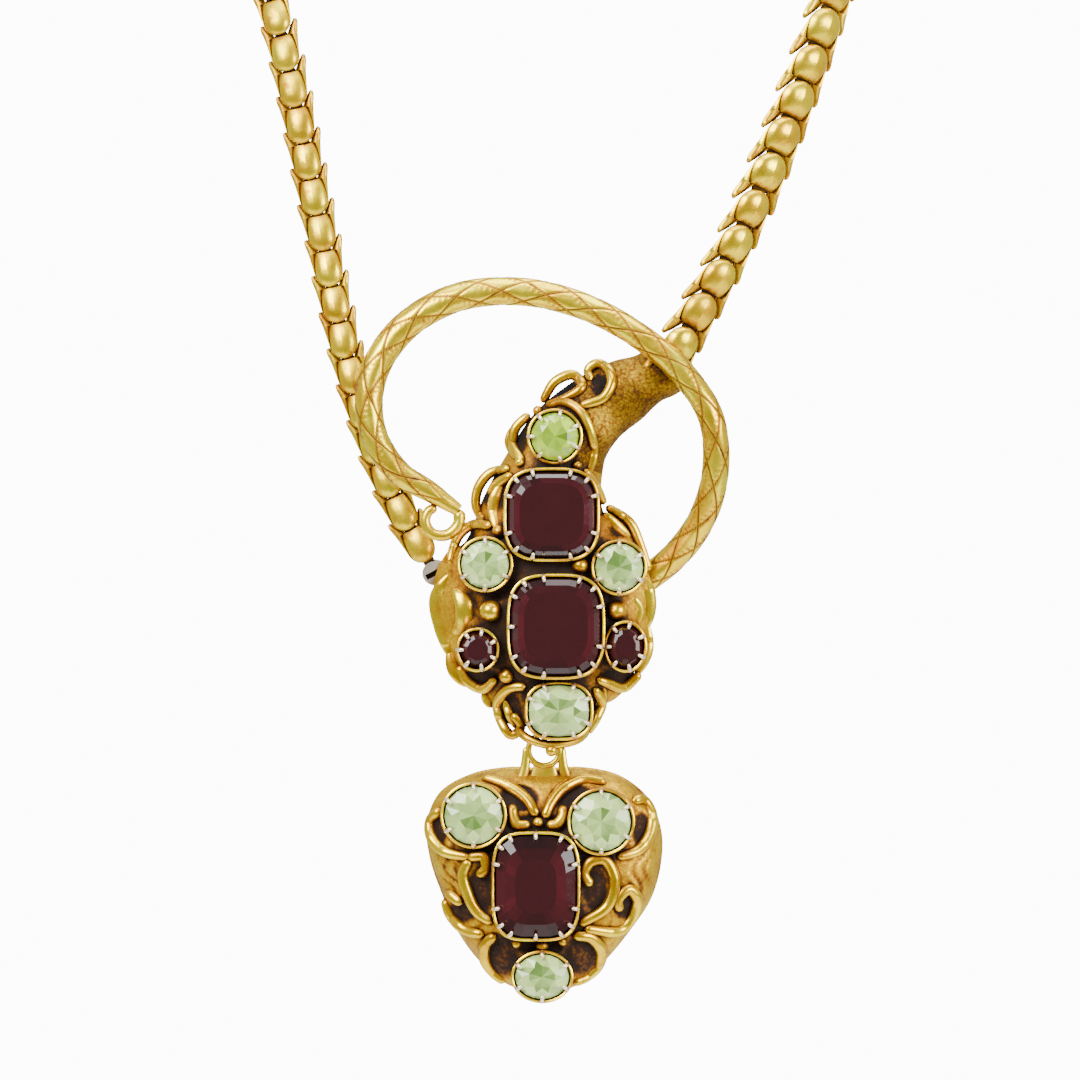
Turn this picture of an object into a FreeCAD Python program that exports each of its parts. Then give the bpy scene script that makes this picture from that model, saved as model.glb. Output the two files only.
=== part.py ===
import FreeCAD, Part
import math
import os

# A Victorian snake necklace: a gold snake whose body is a chain of hollow scale links.
# Its tail coils into a rigid engraved hoop, its jewelled head carries a hanging jewelled heart.
# Millimetres, +Z up, the front faces -Y and the wearer's left is +X.
# The necklace is built as it hangs when worn, with the origin at the nape of the neck.
# Drawn places are given from the middle of the front view: x to the right, z up,
# and y from the plane on which the backs of the jewels lie, negative towards the viewer.

Vector = FreeCAD.Vector

# Where the front view's middle lies, seen from the nape.
NAPE_BEHIND_FRONT = 103.3
NAPE_ABOVE_MIDDLE = 120.0

GAP = 0.06                # room between a stone and its setting, or between two fitted pieces
WIRE = 0.42               # radius of the scroll wire
WIRE_SIDES = 5
STATION_STEP = 1.0        # distance between the rings of a scroll's wire
FLATNESS = 1e-9           # four corners count as lying in one plane below this
SETTING_WALL = 0.32
SETTING_LIP = 0.25        # how far a setting's wall rises past the stone's girdle
CLAW_WIDTH = 0.55
CLAW_REACH = 0.55         # how far a claw leans in over the stone
STONE_UNDERCUT = 1.5      # depth of a stone below its girdle
BIG_STONE_SIDES = 20
SMALL_STONE_SIDES = 12
BEAD_SIDES = 10
BIG_STONE = 3.4           # half width from which a stone counts as big

# The hanging joint: the heart's lug turns on the mouth ring.
PIVOT = Vector(0.4, -1.5, -18.5)
LUG_RADIUS = 1.5
LUG_WIRE = 0.3
FOOT_THICKNESS = 0.46     # plate that joins the lug to the heart
MOUTH_RING_RADIUS = 1.1
MOUTH_RING_WIRE = 0.25
RING_CLEARANCE = 0.1
MOUTH_HALF_WIDTH = 1.9    # hollow of the mouth, in which the lug swings
MOUTH_FRONT = -2.7
MOUTH_DEPTH = 4.0
MOUTH_HEIGHT = 1.9
MOUTH_BELOW_PIVOT = 1.1

# Depth at which the settings start, inside the head and inside the heart.
HEAD_SETTING_BASE = -1.2
HEART_SETTING_BASE = -0.8

# Snake's neck and head, from the chain to the muzzle: centre of each section,
# half width, height of the front arc, height of the back arc and depth of its widest line.
#  x,    z,    half, front, back, y
BODY_ROWS = [
    (12.9, 17.8, 2.0, 1.6, 1.6, -1.2),
    (11.9, 16.3, 2.6, 1.7, 1.7, -1.2),
    (10.5, 15.5, 2.5, 1.7, 1.7, -1.3),
    (8.3, 14.3, 3.1, 2.0, 1.8, -1.5),
    (5.2, 12.3, 3.5, 2.3, 1.8, -1.5),
    (2.7, 9.6, 4.1, 2.7, 1.7, -1.3),
    (1.3, 6.5, 4.8, 3.1, 1.4, -1.1),
    (0.4, 3.0, 6.0, 3.5, 1.0, -0.8),
    (0.6, -0.5, 8.7, 4.0, 0.8, -0.6),
    (0.4, -4.8, 10.6, 4.3, 0.6, -0.5),
    (0.7, -9.5, 9.7, 4.0, 0.6, -0.5),
    (0.8, -13.3, 7.8, 3.4, 0.6, -0.5),
    (0.7, -16.0, 5.0, 2.7, 0.6, -0.7),
    (0.9, -17.4, 3.2, 2.1, 0.7, -1.3),
]

# Heart: outline points from its centre, and its height profile as share of the outline and depth.
HEART_CENTRE = Vector(0.3, 0, -32.3)
#  x, z
HEART_OUTLINE = [
    (0.1, 10.3), (-3.5, 10.4), (-6.9, 9.7), (-9.7, 8.0), (-10.9, 5.2), (-10.6, 1.9),
    (-9.5, -1.4), (-8.1, -4.8), (-6.1, -7.6), (-3.4, -9.9), (0.0, -10.7), (3.4, -9.9),
    (6.0, -7.5), (8.2, -4.8), (10.1, -1.9), (11.0, 1.2), (11.1, 4.2), (9.9, 7.4),
    (7.2, 9.6), (3.7, 10.4),
]
#  share, y
HEART_PROFILE = [(0.95, 0.5), (1.0, -0.3), (0.97, -1.3), (0.86, -2.5), (0.66, -3.4), (0.42, -3.9)]

# Cut stones: place of the centre, half width, half height, roundness (2 is an oval, more is
# squarer), depth of the girdle, number of claws and share of the width that the table takes.
#  node, x, z, half_w, half_h, power, girdle_y, claws, table
HEAD_STONES = [
    ("head_peridot_top", 1.4, 9.8, 2.3, 2.3, 2.0, -4.6, 7, 0.55),
    ("head_garnet_upper", 1.1, 2.4, 4.2, 4.1, 3.2, -5.3, 12, 0.74),
    ("head_peridot_left", -5.2, -2.3, 2.3, 2.3, 2.0, -5.0, 6, 0.55),
    ("head_peridot_right", 7.5, -2.6, 2.3, 2.3, 2.0, -4.8, 6, 0.55),
    ("head_garnet_lower", 1.5, -8.2, 4.3, 4.65, 3.2, -5.6, 13, 0.72),
    ("head_garnet_left", -5.9, -10.4, 1.7, 1.75, 2.0, -4.7, 7, 0.6),
    ("head_garnet_right", 8.1, -10.1, 1.7, 2.1, 2.0, -4.5, 7, 0.6),
    ("head_peridot_bottom", 1.8, -16.2, 2.9, 2.45, 2.6, -4.5, 8, 0.5),
]
HEART_STONES = [
    ("heart_garnet", -0.4, -32.8, 3.85, 4.85, 3.6, -5.0, 14, 0.52),
    ("heart_peridot_left", -6.3, -26.1, 2.8, 2.8, 2.0, -4.4, 6, 0.5),
    ("heart_peridot_right", 5.8, -26.7, 2.85, 2.85, 2.0, -4.4, 6, 0.5),
    ("heart_peridot_bottom", 0.2, -41.4, 2.6, 2.15, 2.0, -4.2, 6, 0.5),
]

# Scrolls of wire: the points that each one's curve passes, as x and z.
HEAD_SCROLLS = [
    [(0.2, 13.1), (1.6, 15.2), (3.2, 15.7), (4.0, 14.8), (2.1, 13.3), (0.6, 12.8)],
    [(4.8, 15.2), (4.6, 16.2), (5.4, 16.8), (6.5, 16.2), (6.8, 14.9), (6.2, 13.7), (3.8, 12.7)],
    [(0.8, 12.7), (2.1, 13.1), (3.5, 12.5), (4.6, 10.8), (5.2, 8.6)],
    [(-1.0, 12.0), (-2.4, 10.5), (-2.6, 9.0), (-1.6, 7.4)],
    [(-2.9, 6.8), (-4.7, 6.4), (-5.9, 4.9), (-6.1, 3.2), (-5.4, 1.8)],
    [(-4.9, 4.4), (-3.8, 5.5), (-2.6, 6.2)],
    [(4.2, 6.7), (5.6, 4.5), (6.1, 3.4)],
    [(6.3, 3.2), (8.6, 1.6), (9.6, -0.6), (10.4, -2.9)],
    [(-4.6, 1.3), (-6.2, 1.5), (-7.6, 0.6), (-8.3, -0.9), (-8.6, -2.3)],
    [(-7.8, -12.0), (-6.8, -13.6), (-5.4, -14.2), (-4.2, -13.2)],
    [(9.6, -12.7), (7.8, -14.1), (6.4, -13.6), (5.4, -13.2)],
    [(-1.3, -13.9), (-2.9, -14.1), (-4.0, -15.4), (-3.8, -17.0), (-2.6, -18.6), (-1.8, -17.8), (-2.6, -16.5)],
    [(5.1, -14.1), (5.9, -15.3), (5.4, -16.9), (4.5, -18.4)],
]
# Bar of wire below the bottom stone, in front of the hanging ring, with a bead on it.
#  x, y, z
MUZZLE_BAR = [
    (-2.1, -2.5, -18.1), (-1.2, -3.4, -18.8), (0.3, -3.8, -19.35), (1.1, -3.9, -19.45),
    (2.1, -3.8, -19.35), (3.6, -3.0, -18.95), (4.5, -1.7, -18.2),
]
MUZZLE_BEAD = Vector(1.1, -3.9, -19.95)
MUZZLE_BEAD_RADIUS = 0.6
HEART_SCROLLS = [
    [(-5.5, -22.6), (-3.2, -23.3), (-1.2, -24.7), (-0.3, -26.2)],
    [(6.3, -23.1), (4.0, -22.8), (2.2, -23.6), (1.1, -24.9), (0.4, -26.4)],
    [(-2.6, -25.1), (-2.6, -26.2), (-2.2, -27.0), (-0.9, -27.0)],
    [(2.1, -25.2), (2.2, -26.2), (1.5, -27.0), (0.6, -27.0)],
    [(-9.4, -25.6), (-10.4, -26.7), (-10.4, -28.1), (-9.4, -29.4), (-6.7, -30.1)],
    [(8.8, -24.9), (9.6, -24.7), (10.6, -26.0), (10.5, -27.8), (9.4, -29.4), (7.3, -30.1)],
    [(-6.7, -30.3), (-7.3, -31.7), (-6.9, -33.5), (-5.8, -35.5), (-4.5, -36.3)],
    [(-6.9, -30.1), (-5.3, -30.1), (-5.1, -31.1), (-6.0, -31.9)],
    [(-9.1, -34.2), (-8.5, -35.8), (-7.1, -37.1), (-5.3, -37.5)],
    [(-8.9, -33.4), (-7.4, -34.6)],
    [(-4.2, -37.5), (-5.1, -38.3), (-5.3, -39.8), (-4.5, -41.2), (-3.3, -42.2)],
    [(3.1, -37.5), (4.9, -37.8), (5.8, -39.0), (5.6, -40.5), (4.4, -41.7), (3.1, -42.2)],
    [(4.9, -32.8), (4.2, -31.7), (4.7, -30.6), (6.0, -30.3), (7.0, -31.8), (6.5, -34.6), (3.7, -36.5)],
    [(7.6, -35.3), (7.4, -34.2), (8.5, -33.2), (9.2, -34.0), (9.0, -35.5), (7.9, -37.0), (4.2, -36.9)],
]

# Beads: centre and radius.
#  x, z, radius
HEAD_BEADS = [
    (-0.2, 12.3, 0.5), (3.5, 7.1, 0.45), (-1.9, 7.4, 0.5), (-3.9, 0.8, 0.65), (3.8, -2.4, 0.8),
    (-4.7, -6.7, 1.05), (7.3, -6.7, 1.0), (-3.2, -12.9, 0.7),
]
HEART_BEADS = [(-0.2, -26.8, 0.5), (0.2, -38.5, 0.6), (-2.2, -38.3, 0.45), (2.1, -38.1, 0.45)]

# Rigid tail hoop: centre line and radius of the tube, from behind the head to the taper.
#  x, y, z, radius
HOOP_ROWS = [
    (9.6, 1.9, -4.2, 1.30), (12.5, 1.0, -1.9, 1.35), (15.2, -0.9, 1.6, 1.35), (16.7, -3.2, 7.0, 1.3),
    (16.1, -4.4, 11.9, 1.25), (13.6, -4.5, 15.7, 1.25), (9.0, -4.2, 19.6, 1.25), (3.8, -3.6, 22.3, 1.3),
    (-2.0, -3.1, 23.6, 1.35), (-8.6, -2.9, 22.8, 1.4), (-13.4, -2.9, 19.7, 1.4), (-16.0, -3.0, 15.2, 1.4),
    (-16.0, -3.1, 10.8, 1.3), (-13.5, -3.2, 6.5, 1.2), (-10.3, -3.2, 4.5, 1.0), (-7.7, -3.2, 2.8, 0.6),
]
CURL_WIRE = 0.42
CURL_Y = -3.2
CURL_POINTS = [(-7.7, 2.9), (-7.7, 1.6), (-8.8, 0.5), (-10.2, 0.6), (-10.9, 1.8), (-10.5, 2.8), (-9.8, 3.1)]

# Centre line of the chain, from the clasp round the nape to the neck, and the way its
# scales face: 0 is the front, 90 the wearer's left, 180 the back.
#  x, y, z, facing
CHAIN_ROWS = [
    (-11.2, 0.8, -0.9, -8), (-13.5, 0.6, 3.4, -8), (-16.0, 0.4, 9.5, -8), (-18.1, 0.2, 16.6, -8),
    (-21.0, 0.0, 30.4, -8), (-25.4, 0.0, 51.3, -12), (-31.5, 5.5, 69.0, -35), (-42.0, 22.0, 88.0, -62),
    (-50.0, 46.0, 103.5, -88), (-46.5, 74.0, 113.0, -115), (-29.0, 96.0, 118.5, -148),
    (0.0, 104.0, 120.0, -180), (29.0, 96.0, 118.5, -212), (46.5, 74.0, 113.0, -245),
    (50.0, 46.0, 103.5, -272), (42.0, 22.0, 88.0, -298), (32.5, 5.5, 67.5, -315), (26.6, 0.0, 49.3, -325),
    (22.4, -0.6, 38.0, -328), (17.8, -0.9, 27.4, -330), (13.2, -1.2, 19.0, -335),
]
# Graduated links from the clasp to the neck: how many, width over the prongs and pitch.
#  count, width, pitch
CHAIN_SIZES = [
    (17, 3.7, 3.48), (12, 4.0, 3.52), (13, 4.3, 3.56), (15, 4.7, 3.6), (16, 5.0, 3.64),
    (17, 5.2, 3.66), (17, 5.4, 3.68), (6, 5.1, 3.68), (4, 4.7, 3.68),
]
LINK_UNIT_WIDTH = 3.7     # the width for which the link's measures are stated
CAP_PITCH = 2.9           # pitch of the last scale, which is soldered on the neck
CAP_END = Vector(12.0, -1.2, 16.6)
CURVE_STEPS = 60          # fine points in each span of the chain's centre line
CLASP_RADIUS = 1.15
CLASP_HEIGHT = 1.9


def smooth_points(points, step):
    """Points about one step apart along a smooth curve through the given ones."""
    curve = Part.BSplineCurve()
    curve.interpolate(points)
    count = max(3, round(curve.length() / step))
    return curve.discretize(Number=count + 1)


def flat_face(*corners):
    return Part.Face(Part.makePolygon([*corners, corners[0]]))


def faceted(rings):
    """Closed solid of flat faces through rings of equally many points, with flat ends."""
    count = len(rings[0])
    faces = [flat_face(*rings[0]), flat_face(*rings[-1])]
    for low, high in zip(rings, rings[1:]):
        for i in range(count):
            j = (i + 1) % count
            a, b, c, d = low[i], low[j], high[j], high[i]
            if abs((b - a).cross(d - a).dot(c - a)) < FLATNESS:
                faces.append(flat_face(a, b, c, d))
            else:
                faces += [flat_face(a, b, c), flat_face(a, c, d)]
    solid = Part.Solid(Part.Shell(faces))
    if solid.Volume < 0:
        solid.reverse()
    return solid


def wire_tube(points, radius, step=STATION_STEP):
    """Round wire of flat faces along a smooth curve, drawn in at both ends."""
    path = smooth_points(points, step)
    count = len(path)
    rings = []
    normal = None
    for i, point in enumerate(path):
        along = (path[min(i + 1, count - 1)] - path[max(i - 1, 0)]).normalize()
        if normal is None:
            normal = Vector(0, 1, 0)
        normal = (normal - along * normal.dot(along)).normalize()
        across = along.cross(normal)
        size = radius * (0.6 if i in (0, count - 1) else 1.0)
        rings.append([
            point + normal * (size * math.cos(turn)) + across * (size * math.sin(turn))
            for turn in (2 * math.pi * k / WIRE_SIDES for k in range(WIRE_SIDES))
        ])
    return faceted(rings)


def one_solid(shapes, name):
    """Fuses shapes that are soldered together, and makes sure that one solid comes out."""
    fused = shapes[0].multiFuse(shapes[1:])
    if len(fused.Solids) != 1:
        print(name, "has", len(fused.Solids), "solids")
    return max(fused.Solids, key=lambda solid: solid.Volume)


def body_section(row, along):
    """Section of the snake's body: a domed front arc and a flatter back arc."""
    x, z, half, front, back, y = row
    side = Vector(-along.z, 0, along.x)
    middle = Vector(x, y, z)
    left, right = middle - side * half, middle + side * half
    crown = Part.Arc(left, middle + Vector(0, -front, 0), right).toShape()
    belly = Part.Arc(right, middle + Vector(0, back, 0), left).toShape()
    return Part.Wire([crown, belly])


def body_loft():
    """Neck and head lofted through their rows, with the last section level."""
    places = [Vector(row[0], 0, row[1]) for row in BODY_ROWS]
    last = len(places) - 1
    sections = []
    for i, row in enumerate(BODY_ROWS):
        along = (places[min(i + 1, last)] - places[max(i - 1, 0)]).normalize()
        if i == last:
            along = Vector(0, 0, -1)
        sections.append(body_section(row, along))
    return Part.makeLoft(sections, True)


def body_front(x, z):
    """Depth of the body's front at a place seen from the front."""
    best = None
    place = Vector(x, 0, z)
    for low, high in zip(BODY_ROWS, BODY_ROWS[1:]):
        start, end = Vector(low[0], 0, low[1]), Vector(high[0], 0, high[1])
        run = end - start
        share = min(1.0, max(0.0, (place - start).dot(run) / run.dot(run)))
        off = place.distanceToPoint(start + run * share)
        if best is None or off < best[0]:
            best = (off, [a + (b - a) * share for a, b in zip(low[2:], high[2:])])
    off, (half, front, back, y) = best
    radius = (half * half + front * front) / (2 * front)
    off = min(off, half)
    return y - (math.sqrt(radius * radius - off * off) - (radius - front))


def heart_wire(share, y):
    """Outline of the heart at one share of its full size and one depth."""
    curve = Part.BSplineCurve()
    points = [HEART_CENTRE + Vector(x * share, y, z * share) for x, z in HEART_OUTLINE]
    curve.interpolate(points, PeriodicFlag=True)
    return Part.Wire(curve.toShape())


def heart_front(x, z):
    """Depth of the heart's front at a place seen from the front."""
    off = Vector(x, 0, z) - HEART_CENTRE
    angle = math.atan2(off.z, off.x)
    reach = None
    count = len(HEART_OUTLINE)
    for i in range(count):
        (ax, az), (bx, bz) = HEART_OUTLINE[i], HEART_OUTLINE[(i + 1) % count]
        cross = ax * bz - az * bx
        along = math.cos(angle) * (bz - az) - math.sin(angle) * (bx - ax)
        if abs(along) < 1e-9:
            continue
        radius = cross / along
        share = ((radius * math.cos(angle) - ax) * (bx - ax)
                 + (radius * math.sin(angle) - az) * (bz - az)) / ((bx - ax) ** 2 + (bz - az) ** 2)
        if radius > 0 and -1e-6 <= share <= 1 + 1e-6:
            reach = radius
    share = off.Length / reach
    front = HEART_PROFILE[1:]
    if share >= front[0][0]:
        return front[0][1]
    for (outer, low), (inner, high) in zip(front, front[1:]):
        if share >= inner:
            return low + (high - low) * (outer - share) / (outer - inner)
    return front[-1][1]


def stone_ring(x, z, half_w, half_h, power, y, sides):
    """Ring of points round a stone: an oval for power 2, a cushion for more."""
    ring = []
    for i in range(sides):
        angle = 2 * math.pi * (i + 0.5) / sides
        c, s = math.cos(angle), math.sin(angle)
        ring.append(Vector(
            x + half_w * math.copysign(abs(c) ** (2 / power), c), y,
            z + half_h * math.copysign(abs(s) ** (2 / power), s)))
    return ring


def stone_sides(half_w):
    return BIG_STONE_SIDES if half_w > BIG_STONE else SMALL_STONE_SIDES


def cut_stone(row):
    """Faceted stone: small keel, pavilion, girdle, crown and table."""
    name, x, z, half_w, half_h, power, girdle, claws, table = row
    sides = stone_sides(half_w)
    #  share of the girdle, rise above it
    levels = [(0.12, 0.1 - STONE_UNDERCUT), (0.62, -0.85), (1.0, -0.12), (1.0, 0.05),
              (0.5 + 0.5 * table, 0.42), (table, 0.62)]
    rings = [
        stone_ring(x, z, half_w * share, half_h * share, power, girdle - rise, sides)
        for share, rise in levels
    ]
    return faceted(rings)


def setting_blank(row, base):
    """Outer form of a setting, from inside the shell up to its lip."""
    name, x, z, half_w, half_h, power, girdle, claws, table = row
    grow = GAP + SETTING_WALL
    sides = stone_sides(half_w)
    rings = [
        stone_ring(x, z, half_w + grow - inset, half_h + grow - inset, power, y, sides)
        for inset, y in ((0.45, base), (0.0, girdle - SETTING_LIP))
    ]
    return faceted(rings)


def setting_pocket(row):
    """Room for the stone, open to the front."""
    name, x, z, half_w, half_h, power, girdle, claws, table = row
    sides = stone_sides(half_w)
    rings = [
        stone_ring(x, z, half_w + GAP, half_h + GAP, power, y, sides)
        for y in (girdle + STONE_UNDERCUT, girdle - 6.0)
    ]
    return faceted(rings)


def claws_of(row):
    """Claws that rise from the setting's wall and lean in over the stone."""
    name, x, z, half_w, half_h, power, girdle, count, table = row
    prongs = []
    for i in range(count):
        angle = 2 * math.pi * (i + 0.5) / count
        c, s = math.cos(angle), math.sin(angle)
        edge = Vector(
            x + half_w * math.copysign(abs(c) ** (2 / power), c), girdle,
            z + half_h * math.copysign(abs(s) ** (2 / power), s))
        out = Vector(c / half_w, 0, s / half_h).normalize()
        across = Vector(-out.z, 0, out.x)
        #  outward from the girdle, towards the viewer
        profile = [(GAP + 0.36, -0.5), (GAP + 0.36, 0.3), (0.0, 0.62), (-CLAW_REACH, 0.86),
                   (-CLAW_REACH, 0.68), (GAP + 0.04, 0.2), (GAP + 0.04, -0.5)]
        corners = [
            edge + out * away + Vector(0, -rise, 0) - across * (CLAW_WIDTH / 2)
            for away, rise in profile
        ]
        prongs.append(flat_face(*corners).extrude(across * CLAW_WIDTH))
    return prongs


def raised(points, front):
    """Lifts drawn points onto a surface, a little proud of it."""
    return [Vector(x, front(x, z) - 0.12, z) for x, z in points]


def dense(points):
    """More points along a drawn curve, so that a lifted curve follows the surface."""
    flat = smooth_points([Vector(x, 0, z) for x, z in points], 1.2)
    return [(p.x, p.z) for p in flat]


def scrolls_on(rows, front):
    return [wire_tube(raised(dense(points), front), WIRE) for points in rows]


def bead(middle, radius):
    """Round bead of flat faces."""
    rings = []
    for level in (-0.85, -0.35, 0.2, 0.7, 0.96):
        half = radius * math.sqrt(1 - level * level)
        rings.append(stone_ring(middle.x, middle.z, half, half, 2.0, middle.y - level * radius, BEAD_SIDES))
    return faceted(rings)


def beads_on(rows, front):
    return [bead(Vector(x, front(x, z) - 0.35 * radius, z), radius) for x, z, radius in rows]


def jewel(shell, stones, trim, base, hollows, hooks, name):
    """Shell with settings and soldered trim as one solid, with room for its stones.

    The hollows are cut before the claws and the hooks are soldered on.
    """
    blanks = [setting_blank(row, base) for row in stones]
    whole = one_solid([shell, *blanks, *trim], name)
    whole = whole.cut([*[setting_pocket(row) for row in stones], *hollows])
    whole = max(whole.Solids, key=lambda solid: solid.Volume)
    prongs = [prong for row in stones for prong in claws_of(row)]
    return one_solid([whole, *prongs, *hooks], name)


def build_head(frames):
    """Matted neck and jewelled head, with the scale that holds the chain's last tongue."""
    ring_middle = PIVOT + Vector(0, 0, MOUTH_RING_RADIUS - MOUTH_RING_WIRE - LUG_WIRE - RING_CLEARANCE)
    mouth_ring = Part.makeTorus(MOUTH_RING_RADIUS, MOUTH_RING_WIRE, ring_middle, Vector(1, 0, 0))
    (before, outward, width, pitch), (end, *_) = frames[-2], frames[-1]
    cap = placed(link_cover(width / LINK_UNIT_WIDTH, CAP_PITCH), end, CAP_END, outward)
    muzzle = [wire_tube([Vector(*row) for row in MUZZLE_BAR], WIRE), bead(MUZZLE_BEAD, MUZZLE_BEAD_RADIUS)]
    trim = scrolls_on(HEAD_SCROLLS, body_front) + beads_on(HEAD_BEADS, body_front)
    mouth = Part.makeBox(
        2 * MOUTH_HALF_WIDTH, MOUTH_DEPTH, MOUTH_HEIGHT,
        Vector(PIVOT.x - MOUTH_HALF_WIDTH, MOUTH_FRONT, PIVOT.z - MOUTH_BELOW_PIVOT))
    hooks = [mouth_ring, *muzzle]
    return jewel(body_loft(), HEAD_STONES, [cap, *trim], HEAD_SETTING_BASE, [mouth], hooks, "head")


def build_heart():
    shell = Part.makeLoft([heart_wire(share, y) for share, y in HEART_PROFILE], True)
    lug_middle = PIVOT - Vector(0, 0, LUG_RADIUS)
    lug = Part.makeTorus(LUG_RADIUS, LUG_WIRE, lug_middle, Vector(0, 1, 0))
    #  across and up from the pivot
    foot_corners = [
        PIVOT + Vector(x, -FOOT_THICKNESS / 2, z)
        for x, z in ((-1.3, -2.9), (1.3, -2.9), (2.4, -5.2), (-2.4, -5.2))
    ]
    foot = flat_face(*foot_corners).extrude(Vector(0, FOOT_THICKNESS, 0))
    trim = scrolls_on(HEART_SCROLLS, heart_front) + beads_on(HEART_BEADS, heart_front)
    return jewel(shell, HEART_STONES, trim, HEART_SETTING_BASE, [], [lug, foot], "heart")


def build_hoop():
    """Rigid tube of the tail with its curled tip."""
    centres = [Vector(x, y, z) for x, y, z, radius in HOOP_ROWS]
    line = Part.BSplineCurve()
    line.interpolate(centres)
    sections = []
    for centre, row in zip(centres, HOOP_ROWS):
        along = line.tangent(line.parameter(centre))[0]
        sections.append(Part.Wire(Part.Circle(centre, along, row[3]).toShape()))
    tube = Part.makeLoft(sections, True)
    curl = wire_tube([Vector(x, CURL_Y, z) for x, z in CURL_POINTS], CURL_WIRE)
    return one_solid([tube, curl], "tail_hoop")


def tetra(corners):
    """Solid with four corners."""
    a, b, c, d = corners
    solid = Part.Solid(Part.Shell([flat_face(a, b, c), flat_face(a, b, d), flat_face(a, c, d), flat_face(b, c, d)]))
    if solid.Volume < 0:
        solid.reverse()
    return solid


def link_cover(k, pitch):
    """Domed scale with a stud below its front, and the flat tongue behind it."""
    tail = pitch / k - 1.35
    end = pitch / k + 0.8
    #  along, half width, half width of the top, bottom, top
    sections = [
        (-1.15, 0.62, 0.35, 0.86, 1.06), (-0.5, 1.2, 0.5, 0.78, 1.38),
        (tail, 0.62, 0.3, 0.42, 0.66), (end, 0.55, 0.55, 0.1, 0.32),
    ]
    rings = [
        [Vector(x, y, z) * k for y, z in ((-half, low), (half, low), (crown, top), (-crown, top))]
        for x, half, crown, low, top in sections
    ]
    #  height, half length
    stud = [(-0.6, 0.65), (0.85, 0.14)]
    stud_rings = [
        [Vector(x, y, z) * k for x, y in ((-reach, -0.24), (reach, -0.24), (reach, 0.24), (-reach, 0.24))]
        for z, reach in stud
    ]
    return faceted(rings).fuse(faceted(stud_rings))


def tongue_slot(k, pitch):
    return Part.makeBox(1.16 * k, 0.78 * k, 0.7 * k, Vector(pitch - 0.58 * k, -0.39 * k, 0.0))


def make_link(width, pitch):
    """Scale link along +X, with its stud at the origin and its slot one pitch away."""
    k = width / LINK_UNIT_WIDTH
    back = pitch / k
    leaves = []
    for side in (-1, 1):
        #  root on the scale, widest place, lower edge by the tongue, point
        corners = [(-0.3, 1.0, 0.95), (back - 1.9, 1.7, 0.75), (back - 1.5, 0.6, 0.1), (back + 0.15, 1.85, 0.45)]
        leaves.append(tetra([Vector(x, side * y, z) * k for x, y, z in corners]))
    return one_solid([link_cover(k, pitch), *leaves], "link").cut(tongue_slot(k, pitch))


def curve_through(points):
    """Fine points along a smooth curve through the given ones, with the same number in each span."""
    runs = [(b - a).Length for a, b in zip(points, points[1:])]
    slopes = [(b - a) * (1 / run) for a, b, run in zip(points, points[1:], runs)]
    tangents = [slopes[0]]
    for i in range(1, len(slopes)):
        before, after = runs[i - 1], runs[i]
        tangents.append((slopes[i - 1] * after + slopes[i] * before) * (1 / (before + after)))
    tangents.append(slopes[-1])
    line = [points[0]]
    for i, run in enumerate(runs):
        for j in range(1, CURVE_STEPS + 1):
            t = j / CURVE_STEPS
            rise = t * t * (3 - 2 * t)
            line.append(
                points[i] * (1 - rise) + points[i + 1] * rise
                + tangents[i] * (run * t * (1 - t) ** 2) - tangents[i + 1] * (run * t * t * (1 - t)))
    return line


def chain_frames():
    """Place of each link's stud and of the last slot, with the way its scales face."""
    line = curve_through([Vector(*row[:3]) for row in CHAIN_ROWS])
    reached = [0.0]
    for a, b in zip(line, line[1:]):
        reached.append(reached[-1] + (b - a).Length)
    sizes = [(width, pitch) for count, width, pitch in CHAIN_SIZES for _ in range(count)]
    stretch = reached[-1] / sum(pitch for width, pitch in sizes)
    frames = []
    travelled = 0.0
    at = 0
    for width, pitch in [*sizes, (0, 0)]:
        while at < len(line) - 2 and reached[at + 1] <= travelled:
            at += 1
        share = min(1.0, (travelled - reached[at]) / (reached[at + 1] - reached[at]))
        place = line[at] * (1 - share) + line[at + 1] * share
        row = min((at + share) / CURVE_STEPS, len(CHAIN_ROWS) - 1)
        low = min(int(row), len(CHAIN_ROWS) - 2)
        facing = CHAIN_ROWS[low][3] + (row - low) * (CHAIN_ROWS[low + 1][3] - CHAIN_ROWS[low][3])
        turn = math.radians(facing)
        frames.append((place, Vector(math.sin(turn), -math.cos(turn), 0), width, pitch * stretch))
        travelled += pitch * stretch
    print("chain", round(reached[-1], 1), "mm in", len(sizes), "links, stretch", round(stretch, 4))
    return frames


def placed(shape, start, end, outward):
    """Copy of a shape whose +X runs from start to end and whose +Z faces outward."""
    along = (end - start).normalize()
    across = outward.cross(along).normalize()
    face = along.cross(across)
    copy = shape.copy()
    copy.Placement = FreeCAD.Placement(FreeCAD.Matrix(
        along.x, across.x, face.x, start.x,
        along.y, across.y, face.y, start.y,
        along.z, across.z, face.z, start.z,
        0, 0, 0, 1))
    return copy


def build_chain(frames):
    templates = {}
    links = []
    for (start, outward, width, pitch), after in zip(frames, frames[1:]):
        if width not in templates:
            templates[width] = make_link(width, (after[0] - start).Length)
        links.append(placed(templates[width], start, after[0], outward))
    return Part.makeCompound(links)


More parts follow.
